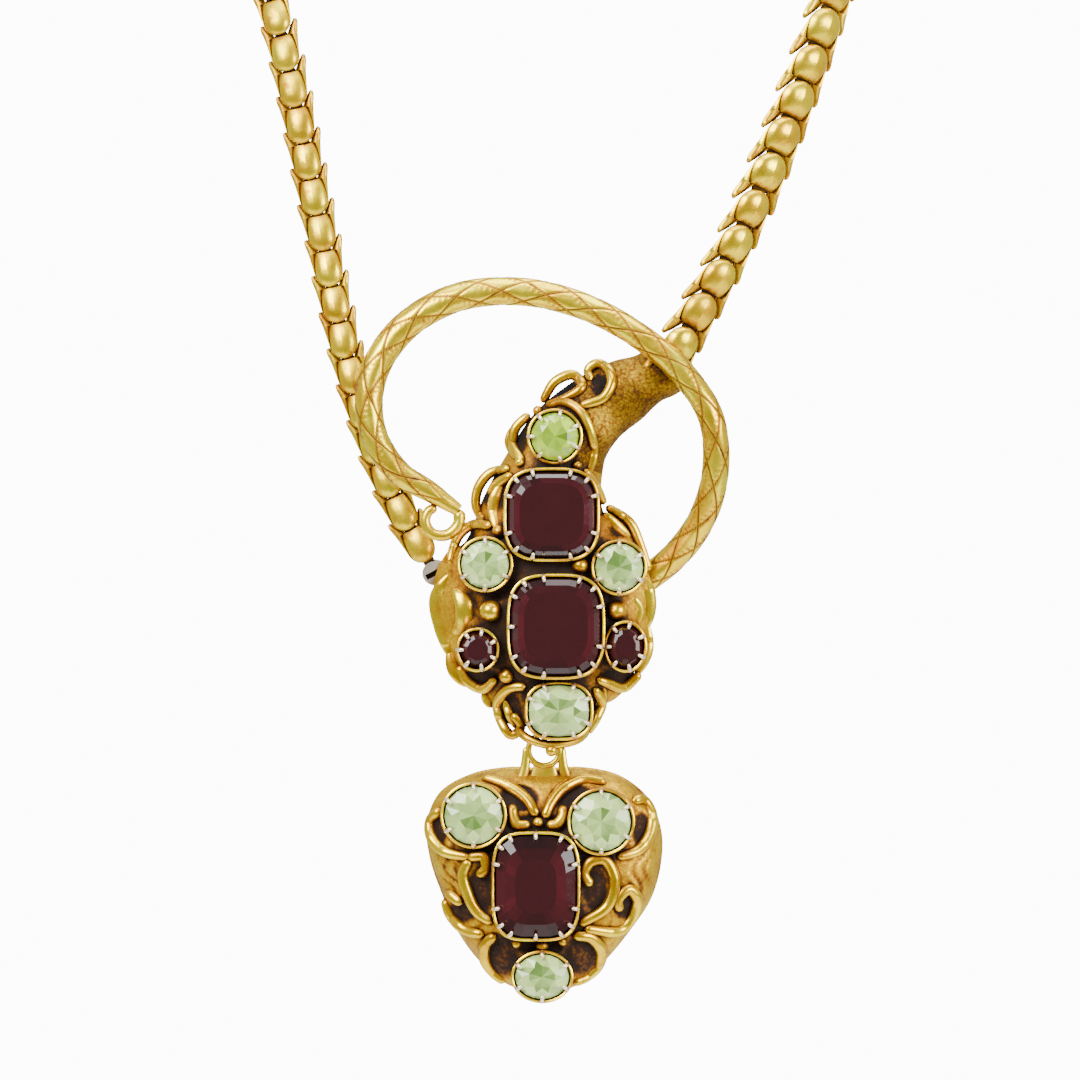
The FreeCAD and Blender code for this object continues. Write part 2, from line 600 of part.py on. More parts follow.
def build_clasp(frames):
    """Plain barrel with a slot, hooked to the first link's stud by its tongue."""
    (start, outward, width, pitch), after = frames[0], frames[1]
    k = width / LINK_UNIT_WIDTH
    tongue = Part.makeBox(2.3 * k, 1.1 * k, 0.22 * k, Vector(-1.55 * k, -0.55 * k, 0.12 * k))
    barrel = Part.makeCylinder(CLASP_RADIUS, CLASP_HEIGHT, Vector(-2.5, 0, -0.85), Vector(0, 0, 1))
    slot = Part.makeBox(0.5, 1.7, 1.2, Vector(-2.75, -0.85, 0.5))
    clasp = one_solid([tongue, barrel], "clasp").cut([tongue_slot(k, 0.0), slot])
    return placed(clasp, start, after[0], outward)


def main():
    os.makedirs("parts", exist_ok=True)
    frames = chain_frames()
    pieces = {
        "chain": build_chain(frames),
        "clasp": build_clasp(frames),
        "tail_hoop": build_hoop(),
        "head": build_head(frames),
        "heart": build_heart(),
    }
    for row in HEAD_STONES + HEART_STONES:
        pieces[row[0]] = cut_stone(row)
    for name, shape in pieces.items():
        shape.translate(Vector(0, -NAPE_BEHIND_FRONT, -NAPE_ABOVE_MIDDLE))
        shape.exportStep(f"parts/{name}.step")
        print(name, len(shape.Solids), "solids,", len(shape.Faces), "faces, valid", shape.isValid())


main()
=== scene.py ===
import math

import bpy
import numpy as np
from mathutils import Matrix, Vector


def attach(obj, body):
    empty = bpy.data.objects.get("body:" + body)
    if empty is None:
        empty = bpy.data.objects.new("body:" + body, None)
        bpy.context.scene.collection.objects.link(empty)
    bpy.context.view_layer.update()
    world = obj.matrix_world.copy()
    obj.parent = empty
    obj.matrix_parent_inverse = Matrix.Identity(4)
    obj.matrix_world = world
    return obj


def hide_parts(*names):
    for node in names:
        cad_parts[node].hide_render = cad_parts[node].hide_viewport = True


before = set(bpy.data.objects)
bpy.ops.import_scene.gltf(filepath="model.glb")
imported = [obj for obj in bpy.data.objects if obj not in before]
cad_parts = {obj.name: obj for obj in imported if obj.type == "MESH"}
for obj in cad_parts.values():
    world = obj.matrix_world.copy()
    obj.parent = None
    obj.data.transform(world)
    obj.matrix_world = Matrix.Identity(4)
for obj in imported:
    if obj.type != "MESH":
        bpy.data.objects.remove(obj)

# Looks of a Victorian gold snake necklace.
# Places are drawn in millimetres from the middle of the front view, x right, y away from the
# viewer with the backs of the jewels at zero, z up. The solids have their origin at the nape.
MM = 0.001
NAPE = np.array([0.0, 103.3, 120.0])      # the nape's place in the drawing
FRONT = np.array([0.0, -1.0, 0.0])
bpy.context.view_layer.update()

# Stones and their settings.
GAP = 0.06
SETTING_WALL = 0.32
SETTING_LIP = 0.25
STONE_SHARE = 0.985       # the stones are a little smaller than their seats
RIM_SIDES = 64
BIG_STONE = 3.4           # half width from which a step cut gets more facets
HEAD_SETTING_BASE = -1.2
HEART_SETTING_BASE = -0.8
CLAW_WIRE = 0.27
#  outward from the girdle, towards the viewer
CLAW_BEND = [(0.15, -0.3), (0.13, 0.3), (0.02, 0.54), (-0.18, 0.66), (-0.42, 0.66)]
BRILLIANT_MAINS = 10
STONE_SEED = 11

# Scroll wires.
HEAD_WIRE = 0.5
HEART_WIRE = 0.57
WIRE_SIDES = 14
WIRE_STEP = 0.16
WIRE_LIFT = 0.16          # how far a scroll's middle line stands off the shell

# The hanging joint.
PIVOT = np.array([0.4, -1.5, -18.5])
LUG_RADIUS = 1.5
LUG_WIRE = 0.3
MOUTH_RING_RADIUS = 1.1
MOUTH_RING_WIRE = 0.25
RING_CLEARANCE = 0.1
MOUTH_FRONT = -2.7        # front of the hollow in which the lug swings
#  x from the pivot, z from the pivot
LUG_FOOT = [(1.7, -1.2), (1.72, -2.1), (1.85, -3.2), (2.2, -4.4), (2.6, -5.2)]
LUG_PLATE_HEIGHTS = (-2.9, -4.0, -5.2)

# Neck and head: centre, half width, front and back arcs and depth of each section.
#  x, z, half, front, back, y
BODY_ROWS = [
    (12.9, 17.8, 2.0, 1.6, 1.6, -1.2),
    (11.9, 16.3, 2.6, 1.7, 1.7, -1.2),
    (10.5, 15.5, 2.5, 1.7, 1.7, -1.3),
    (8.3, 14.3, 3.1, 2.0, 1.8, -1.5),
    (5.2, 12.3, 3.5, 2.3, 1.8, -1.5),
    (2.7, 9.6, 4.1, 2.7, 1.7, -1.3),
    (1.3, 6.5, 4.8, 3.1, 1.4, -1.1),
    (0.4, 3.0, 6.0, 3.5, 1.0, -0.8),
    (0.6, -0.5, 8.7, 4.0, 0.8, -0.6),
    (0.4, -4.8, 10.6, 4.3, 0.6, -0.5),
    (0.7, -9.5, 9.7, 4.0, 0.6, -0.5),
    (0.8, -13.3, 7.8, 3.4, 0.6, -0.5),
    (0.7, -16.0, 5.0, 2.7, 0.6, -0.7),
    (0.9, -17.4, 3.2, 2.1, 0.7, -1.3),
]
BODY_STEP = 0.22
BODY_HALF_SIDES = 56
NECK_LOW = 8.0            # below this height the body is the smooth head, above it the matted neck
NECK_OVERLAP = 0.3
BODY_END = 30.0           # a height beyond both ends of the body

HEART_CENTRE = np.array([0.3, 0.0, -32.3])
#  x, z
HEART_OUTLINE = [
    (0.1, 10.3), (-3.5, 10.4), (-6.9, 9.7), (-9.7, 8.0), (-10.9, 5.2), (-10.6, 1.9),
    (-9.5, -1.4), (-8.1, -4.8), (-6.1, -7.6), (-3.4, -9.9), (0.0, -10.7), (3.4, -9.9),
    (6.0, -7.5), (8.2, -4.8), (10.1, -1.9), (11.0, 1.2), (11.1, 4.2), (9.9, 7.4),
    (7.2, 9.6), (3.7, 10.4),
]
#  share of the outline, y
HEART_PROFILE = [(0.95, 0.5), (1.0, -0.3), (0.97, -1.3), (0.86, -2.5), (0.66, -3.4), (0.42, -3.9)]
HEART_BACK = 0.5
HEART_CROWN = -3.95
HEART_SIDES = 180

# Cut stones: centre, half width and height, squareness, girdle depth, claws, table share.
#  node, x, z, half_w, half_h, power, girdle_y, claws, table
HEAD_STONES = [
    ("head_peridot_top", 1.4, 9.8, 2.3, 2.3, 2.0, -4.6, 7, 0.55),
    ("head_garnet_upper", 1.1, 2.4, 4.2, 4.1, 3.2, -5.3, 12, 0.74),
    ("head_peridot_left", -5.2, -2.3, 2.3, 2.3, 2.0, -5.0, 6, 0.55),
    ("head_peridot_right", 7.5, -2.6, 2.3, 2.3, 2.0, -4.8, 6, 0.55),
    ("head_garnet_lower", 1.5, -8.2, 4.3, 4.65, 3.2, -5.6, 13, 0.72),
    ("head_garnet_left", -5.9, -10.4, 1.7, 1.75, 2.0, -4.7, 7, 0.6),
    ("head_garnet_right", 8.1, -10.1, 1.7, 2.1, 2.0, -4.5, 7, 0.6),
    ("head_peridot_bottom", 1.8, -16.2, 2.9, 2.45, 2.6, -4.5, 8, 0.5),
]
HEART_STONES = [
    ("heart_garnet", -0.4, -32.8, 3.85, 4.85, 3.6, -5.0, 14, 0.52),
    ("heart_peridot_left", -6.3, -26.1, 2.8, 2.8, 2.0, -4.4, 6, 0.5),
    ("heart_peridot_right", 5.8, -26.7, 2.85, 2.85, 2.0, -4.4, 6, 0.5),
    ("heart_peridot_bottom", 0.2, -41.4, 2.6, 2.15, 2.0, -4.2, 6, 0.5),
]

# Scroll wires, as the x and z of the points that each one's curve passes.
HEAD_SCROLLS = [
    [(0.2, 13.1), (1.6, 15.2), (3.2, 15.7), (4.0, 14.8), (2.1, 13.3), (0.6, 12.8)],
    [(4.8, 15.2), (4.6, 16.2), (5.4, 16.8), (6.5, 16.2), (6.8, 14.9), (6.2, 13.7), (3.8, 12.7)],
    [(0.8, 12.7), (2.1, 13.1), (3.5, 12.5), (4.6, 10.8), (5.2, 8.6)],
    [(-1.0, 12.0), (-2.4, 10.5), (-2.6, 9.0), (-1.6, 7.4)],
    [(-2.9, 6.8), (-4.7, 6.4), (-5.9, 4.9), (-6.1, 3.2), (-5.4, 1.8)],
    [(-4.9, 4.4), (-3.8, 5.5), (-2.6, 6.2)],
    [(4.2, 6.7), (5.6, 4.5), (6.1, 3.4)],
    [(6.3, 3.2), (8.6, 1.6), (9.6, -0.6), (10.4, -2.9)],
    [(-4.6, 1.3), (-6.2, 1.5), (-7.6, 0.6), (-8.3, -0.9), (-8.6, -2.3)],
    [(-7.8, -12.0), (-6.8, -13.6), (-5.4, -14.2), (-4.2, -13.2)],
    [(9.6, -12.7), (7.8, -14.1), (6.4, -13.6), (5.4, -13.2)],
    [(-1.3, -13.9), (-2.9, -14.1), (-4.0, -15.4), (-3.8, -17.0), (-2.6, -18.6), (-1.8, -17.8),
     (-2.6, -16.5)],
    [(5.1, -14.1), (5.9, -15.3), (5.4, -16.9), (4.5, -18.4)],
]
HEART_SCROLLS = [
    [(-5.5, -22.6), (-3.2, -23.3), (-1.2, -24.7), (-0.3, -26.2)],
    [(6.3, -23.1), (4.0, -22.8), (2.2, -23.6), (1.1, -24.9), (0.4, -26.4)],
    [(-2.6, -25.1), (-2.6, -26.2), (-2.2, -27.0), (-0.9, -27.0)],
    [(2.1, -25.2), (2.2, -26.2), (1.5, -27.0), (0.6, -27.0)],
    [(-9.4, -25.6), (-10.4, -26.7), (-10.4, -28.1), (-9.4, -29.4), (-6.7, -30.1)],
    [(8.8, -24.9), (9.6, -24.7), (10.6, -26.0), (10.5, -27.8), (9.4, -29.4), (7.3, -30.1)],
    [(-6.7, -30.3), (-7.3, -31.7), (-6.9, -33.5), (-5.8, -35.5), (-4.5, -36.3)],
    [(-6.9, -30.1), (-5.3, -30.1), (-5.1, -31.1), (-6.0, -31.9)],
    [(-9.1, -34.2), (-8.5, -35.8), (-7.1, -37.1), (-5.3, -37.5)],
    [(-8.9, -33.4), (-7.4, -34.6)],
    [(-4.2, -37.5), (-5.1, -38.3), (-5.3, -39.8), (-4.5, -41.2), (-3.3, -42.2)],
    [(3.1, -37.5), (4.9, -37.8), (5.8, -39.0), (5.6, -40.5), (4.4, -41.7), (3.1, -42.2)],
    [(4.9, -32.8), (4.2, -31.7), (4.7, -30.6), (6.0, -30.3), (7.0, -31.8), (6.5, -34.6), (3.7, -36.5)],
    [(7.6, -35.3), (7.4, -34.2), (8.5, -33.2), (9.2, -34.0), (9.0, -35.5), (7.9, -37.0), (4.2, -36.9)],
]

# Bar of wire below the bottom stone, in front of the hanging ring, and the bead on it.
#  x, y, z
MUZZLE_BAR = [
    (-2.1, -2.5, -18.1), (-1.2, -3.4, -18.8), (0.3, -3.8, -19.35), (1.1, -3.9, -19.45),
    (2.1, -3.8, -19.35), (3.6, -3.0, -18.95), (4.5, -1.7, -18.2),
]
MUZZLE_WIRE = 0.42
MUZZLE_BEAD = (1.1, -3.9, -19.95)
MUZZLE_BEAD_RADIUS = 0.6

# Gold beads between the stones and the scrolls.
#  x, z, radius
HEAD_BEADS = [
    (-0.2, 12.3, 0.5), (3.5, 7.1, 0.45), (-1.9, 7.4, 0.5), (-3.9, 0.8, 0.65), (3.8, -2.4, 0.8),
    (-4.7, -6.7, 1.05), (7.3, -6.7, 1.0), (-3.2, -12.9, 0.7),
]
HEART_BEADS = [(-0.2, -26.8, 0.5), (0.2, -38.5, 0.6), (-2.2, -38.3, 0.45), (2.1, -38.1, 0.45)]

# Smooth raised lobes of the cheeks and jaw: points of their middle line and half width.
#  points, half_w
HEAD_LOBES = [
    ([(-8.6, -3.2), (-9.8, -5.4), (-9.4, -8.2), (-8.4, -11.4)], 0.8),
    ([(-8.2, -4.6), (-7.2, -6.2), (-7.3, -7.9), (-8.3, -9.0)], 0.95),
    ([(-8.6, -10.2), (-8.2, -12.4), (-6.9, -14.0)], 0.65),
    ([(9.9, -3.4), (10.3, -5.6), (10.2, -8.4)], 0.8),
    ([(10.2, -8.0), (10.1, -10.6), (9.2, -12.9)], 0.7),
    ([(8.9, -5.4), (9.4, -6.8), (9.2, -8.0)], 0.55),
    ([(6.0, 2.6), (7.4, 1.2), (8.6, 0.2)], 0.55),
    ([(-3.6, 5.6), (-4.4, 3.4), (-4.1, 0.9)], 0.62),
    ([(-2.2, 11.2), (-2.9, 9.4), (-2.2, 7.6)], 0.5),
    ([(-5.4, -14.4), (-4.5, -16.0)], 0.6),
    ([(6.1, -14.0), (5.7, -15.8), (4.9, -17.2)], 0.55),
    ([(-3.4, -15.2), (-2.7, -17.0), (-1.9, -18.2)], 0.42),
    ([(5.3, 9.4), (5.0, 7.6), (4.6, 6.2)], 0.4),
]

# Hollows sunk into the front between the scrolls, with painted shade in them.
#  x, z, half_w, half_h
HEAD_HOLLOWS = [
    (2.4, 14.3, 1.3, 0.8), (5.7, 14.7, 0.9, 1.1), (-1.9, 10.0, 0.9, 1.8), (-4.1, 4.6, 1.4, 2.0),
    (-6.6, -6.2, 0.7, 1.6), (6.0, -5.9, 0.9, 1.5), (-5.5, -13.0, 1.8, 0.9), (7.2, -13.0, 1.5, 0.9),
    (-2.6, -16.2, 1.0, 1.8), (4.7, 3.4, 0.9, 1.4), (-0.5, -2.6, 3.2, 1.0), (7.4, 0.9, 0.9, 0.7),
    (-6.9, -0.2, 0.8, 1.4), (-3.6, -4.4, 1.4, 1.5), (5.6, -15.2, 0.6, 1.2),
]
HEART_HOLLOWS = [
    (-9.7, -27.5, 0.9, 1.5), (9.6, -27.4, 0.9, 1.6), (-2.0, -24.5, 1.9, 1.2), (3.1, -24.4, 2.0, 1.2),
    (-5.7, -33.5, 1.3, 2.5), (5.2, -33.3, 1.3, 2.3), (8.2, -34.8, 1.2, 1.4), (-7.4, -35.4, 1.5, 1.1),
    (-3.6, -39.5, 1.7, 2.3), (3.8, -39.5, 1.8, 2.2), (5.2, -30.0, 1.6, 0.8), (-4.8, -29.4, 1.6, 0.8),
    (-0.1, -27.3, 2.8, 1.3), (0.0, -38.6, 2.4, 1.0),
]
HOLLOW_DEPTH = 0.35

# How dark the painted shade lies in the hollows and round the jewels.
OPEN_SHADE = 0.05
HEAD_HOLLOW_SHADE = 0.78
HEART_HOLLOW_SHADE = 0.72
JEWEL_SHADE = 0.55
JEWELS_BELOW = 9.0        # height of the first jewel on the head
CHASED_SHADE = 7.0

# Chased leaves on both flanks of the heart.
LEAF_FROM = 0.70          # shares of the outline between which the leaves lie
LEAF_TO = 0.99
LEAF_TURN = -0.08
LEAF_SPREAD = 0.42
LEAF_VEINS = 62.0
LEAF_LOBES = 14.0
LEAF_SWIRL = 4.0
LEAF_DEPTH = 0.09

# Tail hoop: centre line and radius of the tube.
#  x, y, z, radius
HOOP_ROWS = [
    (9.6, 1.9, -4.2, 1.30), (12.5, 1.0, -1.9, 1.35), (15.2, -0.9, 1.6, 1.35), (16.7, -3.2, 7.0, 1.3),
    (16.1, -4.4, 11.9, 1.25), (13.6, -4.5, 15.7, 1.25), (9.0, -4.2, 19.6, 1.25), (3.8, -3.6, 22.3, 1.3),
    (-2.0, -3.1, 23.6, 1.35), (-8.6, -2.9, 22.8, 1.4), (-13.4, -2.9, 19.7, 1.4), (-16.0, -3.0, 15.2, 1.4),
    (-16.0, -3.1, 10.8, 1.3), (-13.5, -3.2, 6.5, 1.2), (-10.3, -3.2, 4.5, 1.0), (-7.7, -3.2, 2.8, 0.6),
]
HOOP_SIDES = 64
HOOP_STEP = 0.17
LOZENGE_LENGTH = 4.4
LOZENGES_ROUND = 4
GROOVE_DEPTH = 0.09
GROOVE_WIDTH = 0.085
TICK_PITCH = 0.5
TICK_SHARE = 0.35         # depth of a tick as a share of a groove's
PLAIN_TIP = 4.0           # length over which the engraving fades towards the tip
ENGRAVED_SHADE = 0.9
CURL_WIRE = 0.52
CURL_Y = -3.2
#  x, z
CURL_POINTS = [
    (-7.7, 2.9), (-7.7, 1.6), (-8.8, 0.5), (-10.2, 0.6), (-10.9, 1.8), (-10.5, 2.8), (-9.8, 3.1),
]

# Chain: centre line from the clasp round the nape to the neck, and the way the scales face.
#  x, y, z, facing
CHAIN_ROWS = [
    (-11.2, 0.8, -0.9, -8), (-13.5, 0.6, 3.4, -8), (-16.0, 0.4, 9.5, -8), (-18.1, 0.2, 16.6, -8),
    (-21.0, 0.0, 30.4, -8), (-25.4, 0.0, 51.3, -12), (-31.5, 5.5, 69.0, -35), (-42.0, 22.0, 88.0, -62),
    (-50.0, 46.0, 103.5, -88), (-46.5, 74.0, 113.0, -115), (-29.0, 96.0, 118.5, -148),
    (0.0, 104.0, 120.0, -180), (29.0, 96.0, 118.5, -212), (46.5, 74.0, 113.0, -245),
    (50.0, 46.0, 103.5, -272), (42.0, 22.0, 88.0, -298), (32.5, 5.5, 67.5, -315), (26.6, 0.0, 49.3, -325),
    (22.4, -0.6, 38.0, -328), (17.8, -0.9, 27.4, -330), (13.2, -1.2, 19.0, -335),
]
#  number of links, width, pitch
CHAIN_SIZES = [
    (17, 3.7, 3.48), (12, 4.0, 3.52), (13, 4.3, 3.56), (15, 4.7, 3.6), (16, 5.0, 3.64),
    (17, 5.2, 3.66), (17, 5.4, 3.68), (6, 5.1, 3.68), (4, 4.7, 3.68),
]
LINK_UNIT_WIDTH = 3.7
NOTCH_LENGTH = 1.3        # the ears' part of a scale, where the next scale's nose lies
SHEET = 0.16              # thickness of a scale
CURVE_STEPS = 60
CAP_PITCH = 2.9           # length of the last scale, which covers the joint to the neck
NECK_END = np.array([12.0, -1.2, 16.6])
WEAR_SEED = 5

# Camera and light.
PHOTO_WIDTH_MM = 102.6    # what the photo's width shows at the jewels
CAMERA_AWAY = 0.6
SENSOR = 36.0
JEWEL_Y = -3.0
WORLD_LIGHT = 0.84
WHITE_BEHIND = 12.0
#  place from the front to the back, grey of the surround
SURROUND = [(0.0, 0.50), (0.26, 0.62), (0.50, 0.90), (1.0, 1.0)]
LAMPS_AIM = (0.0, -0.105, -0.12)
#  name, place, size, power
LAMPS = [
    ("key", (-0.28, -0.50, 0.16), 0.30, 5.0),
    ("fill", (0.36, -0.42, -0.05), 0.24, 2.4),
    ("top", (0.05, -0.16, 0.30), 0.40, 3.0),
]
FLOOR_HALF = 0.3
FLOOR_HEIGHT = -0.32

# Gold and stones.
MOTTLE_SCALE = 260.0
SPOT_SCALE = 800.0
WEAR_SCALE = 900.0
RECESS_REACH = 1.3        # how far a recess looks for metal that hides it
#  amount of grime and painted shade, colour that it multiplies the gold with
DIRT_AND_SHADE = [
    (0.0, (1.0, 1.0, 1.0)), (0.42, (0.50, 0.30, 0.10)),
    (0.85, (0.055, 0.020, 0.006)), (1.0, (0.02, 0.007, 0.003)),
]
#  look, deep colour, middle colour, bright colour, roughness, grain, grain_size, painted shade with patina
#  in the recesses, speckle
GOLDS = [
    ("polished", (0.58, 0.29, 0.002), (0.95, 0.63, 0.004), (1.0, 0.86, 0.020), 0.14, 0.1, 2600.0, 1.9, 0.0),
    ("chain", (0.88, 0.50, 0.002), (1.0, 0.73, 0.003), (1.0, 0.89, 0.012), 0.18, 0.25, 2200.0, 1.1, 0.0),
    ("engraved", (0.88, 0.56, 0.004), (1.0, 0.75, 0.008), (1.0, 0.89, 0.020), 0.18, 0.12, 3000.0, 1.2, 0.0),
    ("brushed", (0.46, 0.24, 0.002), (0.80, 0.51, 0.004), (0.98, 0.74, 0.012), 0.26, 0.5, 4600.0, 1.9, 0.3),
    ("matted", (0.12, 0.06, 0.002), (0.32, 0.18, 0.006), (0.80, 0.54, 0.025), 0.34, 0.9, 6500.0, 1.8, 0.8),
    ("claw", (0.90, 0.72, 0.42), (0.97, 0.84, 0.62), (1.0, 0.92, 0.80), 0.18, 0.06, 2600.0, 0.4, 0.0),
    ("clasp", (0.50, 0.42, 0.30), (0.74, 0.68, 0.55), (0.92, 0.88, 0.78), 0.3, 0.2, 2600.0, 1.4, 0.0),
]
#  look, dark tone, light tone (the two ends of the painted facet light), transmission, index, shine,
#  cloudiness
GEMS = [
    ("garnet", (0.012, 0.003, 0.003), (0.058, 0.006, 0.009), 0.06, 1.76, 0.16, 0.2),
    ("peridot", (0.10, 0.20, 0.03), (0.68, 0.92, 0.30), 0.15, 1.66, 0.4, 0.5),
    ("peridot_top", (0.10, 0.20, 0.004), (0.56, 0.84, 0.04), 0.15, 1.66, 0.4, 0.5),
]


def unit(v):
    return v / np.maximum(np.linalg.norm(v, axis=-1, keepdims=True), 1e-12)


def curve_through(points, steps=CURVE_STEPS):
    """Fine points along a smooth curve through the given ones, equally many in each span."""
    points = np.array(points, float)
    runs = np.linalg.norm(np.diff(points, axis=0), axis=1)[:, None]
    slopes = np.diff(points, axis=0) / runs
    inner = (slopes[:-1] * runs[1:] + slopes[1:] * runs[:-1]) / (runs[1:] + runs[:-1])
    tangents = np.vstack([slopes[:1], inner, slopes[-1:]])
    line = [points[:1]]
    t = (np.arange(1, steps + 1) / steps)[:, None]
    rise = t * t * (3 - 2 * t)
    for i, run in enumerate(runs):
        line.append(
            points[i] * (1 - rise) + points[i + 1] * rise
            + tangents[i] * (run * t * (1 - t) ** 2) - tangents[i + 1] * (run * t * t * (1 - t)))
    return np.vstack(line)


def reached(line):
    return np.concatenate([[0.0], np.cumsum(np.linalg.norm(np.diff(line, axis=0), axis=1))])


def even(line, step):
    """The same curve with its points one step apart."""
    along = reached(line[:, :3])
    count = max(4, int(round(along[-1] / step)))
    stops = np.linspace(0, along[-1], count + 1)
    return np.column_stack([np.interp(stops, along, line[:, i]) for i in range(line.shape[1])])


def grid_faces(rows, columns, closed=True, start=0):
    faces = []
    for i in range(rows - 1):
        for j in range(columns if closed else columns - 1):
            k = (j + 1) % columns
            low, high = start + i * columns, start + (i + 1) * columns
            faces.append((low + j, low + k, high + k, high + j))
    return faces


def lidded(rings, sides):
    """Faces of a skin over a row of rings, with a flat lid at both ends."""
    last = (rings - 1) * sides
    return grid_faces(rings, sides) + [tuple(reversed(range(sides))), tuple(range(last, last + sides))]


def tube(path, radius, up=FRONT, sides=WIRE_SIDES, flat=1.0):
    """Wire along a path: its section is as wide as the radius and flattened along up."""
    path = np.asarray(path, float)
    radius = np.broadcast_to(radius, len(path)).astype(float)
    along = unit(np.gradient(path, axis=0))
    across = unit(np.cross(along, up))
    height = np.cross(across, along)
    turns = 2 * math.pi * np.arange(sides) / sides
    ring = (np.cos(turns)[None, :, None] * across[:, None, :]
            + flat * np.sin(turns)[None, :, None] * height[:, None, :])
    points = (path[:, None, :] + radius[:, None, None] * ring).reshape(-1, 3)
    return points, lidded(len(path), sides)


def round_ends(path, radius):
    """Radii that close both ends of a wire half round."""
    along = reached(path)
    away = np.minimum(along, along[-1] - along)
    inside = np.clip(away / np.maximum(radius, 1e-6), 0.03, 1.0)
    return radius * np.sqrt(1 - (1 - inside) ** 2)


def ball(middle, radius, sides=20, rings=11):
    """Round bead facing the viewer."""
    points = []
    for lift in np.linspace(-math.pi / 2 + 0.06, math.pi / 2 - 0.06, rings):
        for turn in 2 * math.pi * np.arange(sides) / sides:
            out = math.cos(lift)
            away = np.array([out * math.cos(turn), -math.sin(lift), out * math.sin(turn)])
            points.append(np.array(middle) + radius * away)
    return points, lidded(rings, sides)


def torus(middle, radius, wire, axis, sides=14, stations=48):
    turns = 2 * math.pi * np.arange(stations) / stations
    side = unit(np.cross(axis, [0.31, 0.52, 0.79]))
    other = np.cross(axis, side)
    points = []
    for t in turns:
        out = side * math.cos(t) + other * math.sin(t)
        for s in 2 * math.pi * np.arange(sides) / sides:
            reach = radius + wire * math.cos(s)
            points.append(middle + out * reach + np.array(axis) * (wire * math.sin(s)))
    faces = []
    for i in range(stations):
        for j in range(sides):
            a, b = i * sides, ((i + 1) % stations) * sides
            k = (j + 1) % sides
            faces.append((a + j, a + k, b + k, b + j))
    return points, faces


class Piece:
    """Points and faces of one piece, with how dark its points are, mostly painted shade of recesses and a
    little wear, and each face's tone.
    """

    def __init__(self):
        self.points = []
        self.faces = []
        self.dark = []
        self.tone = []
        self.count = 0

    def add(self, shape, dark=0.0, tone=0.5):
        points, faces = shape
        points = np.asarray(points, float)
        self.points.append(points)
        self.faces += [tuple(i + self.count for i in face) for face in faces]
        self.dark.append(np.broadcast_to(dark, len(points)))
        self.tone += list(np.broadcast_to(tone, len(faces)))
        self.count += len(points)

    def build(self, name, material, body, slot, nodes=(), sharp=38):
        points = (np.vstack(self.points) - NAPE) * MM
        mesh = bpy.data.meshes.new(name)
        mesh.from_pydata(points.tolist(), [], self.faces)
        mesh.polygons.foreach_set("use_smooth", [sharp > 0] * len(mesh.polygons))
        if sharp > 0:
            mesh.set_sharp_from_angle(angle=math.radians(sharp))
        dark = mesh.attributes.new("dark", "FLOAT", "POINT")
        dark.data.foreach_set("value", np.concatenate(self.dark))
        tone = mesh.attributes.new("tone", "FLOAT", "FACE")
        tone.data.foreach_set("value", np.array(self.tone, float))
        mesh.materials.append(material)
        mesh.update()
        thing = bpy.data.objects.new(name, mesh)
        bpy.context.scene.collection.objects.link(thing)
        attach(thing, body)
        if nodes:
            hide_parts(*nodes)
        return thing


class Nodes:
    """Nodes of a material or of the surround, and the shader that they end in."""

    def __init__(self, owner, shader="Principled BSDF", space="Object"):
        owner.use_nodes = True
        self.tree = owner.node_tree
        self.shader = self.tree.nodes[shader]
        self.place = self.tree.nodes.new("ShaderNodeTexCoord").outputs[space]

    def link(self, source, target):
        self.tree.links.new(source, target)

    def noise(self, scale, detail=4.0):
        node = self.tree.nodes.new("ShaderNodeTexNoise")
        node.inputs["Scale"].default_value = scale
        node.inputs["Detail"].default_value = detail
        node.inputs["Roughness"].default_value = 0.55
        self.link(self.place, node.inputs["Vector"])
        return node.outputs["Fac"]

    def cells(self, scale):
        node = self.tree.nodes.new("ShaderNodeTexVoronoi")
        node.inputs["Scale"].default_value = scale
        self.link(self.place, node.inputs["Vector"])
        return node.outputs["Distance"]

    def attribute(self, name):
        node = self.tree.nodes.new("ShaderNodeAttribute")
        node.attribute_name = name
        return node.outputs["Fac"]

    def hollow(self, reach):
        """One where nearby metal hides a place, zero in the open."""
        node = self.tree.nodes.new("ShaderNodeAmbientOcclusion")
        node.inputs["Distance"].default_value = reach
        node.samples = 8
        return self.math("SUBTRACT", 1.0, node.outputs["AO"])

    def math(self, kind, *values, clamp=False):
        node = self.tree.nodes.new("ShaderNodeMath")
        node.operation = kind
        node.use_clamp = clamp
        for i, value in enumerate(values):
            if isinstance(value, (int, float)):
                node.inputs[i].default_value = value
            else:
                self.link(value, node.inputs[i])
        return node.outputs[0]

    def ramp(self, factor, *stops):
        node = self.tree.nodes.new("ShaderNodeValToRGB")
        elements = node.color_ramp.elements
        while len(elements) < len(stops):
            elements.new(0.5)
        for element, (place, colour) in zip(elements, stops):
            element.position = place
            element.color = (*colour, 1.0)
        self.link(factor, node.inputs["Fac"])
        return node.outputs["Color"]

    def multiply(self, colour, other):
        node = self.tree.nodes.new("ShaderNodeMix")
        node.data_type = "RGBA"
        node.blend_type = "MULTIPLY"
        node.inputs["Factor"].default_value = 1.0
        self.link(colour, node.inputs[6])
        self.link(other, node.inputs[7])
        return node.outputs[2]

    def bump(self, height, strength, distance):
        node = self.tree.nodes.new("ShaderNodeBump")
        node.inputs["Strength"].default_value = strength
        node.inputs["Distance"].default_value = distance
        self.link(height, node.inputs["Height"])
        self.link(node.outputs["Normal"], self.shader.inputs["Normal"])

    def set(self, name, value):
        if isinstance(value, (int, float)):
            self.shader.inputs[name].default_value = value
        else:
            self.link(value, self.shader.inputs[name])


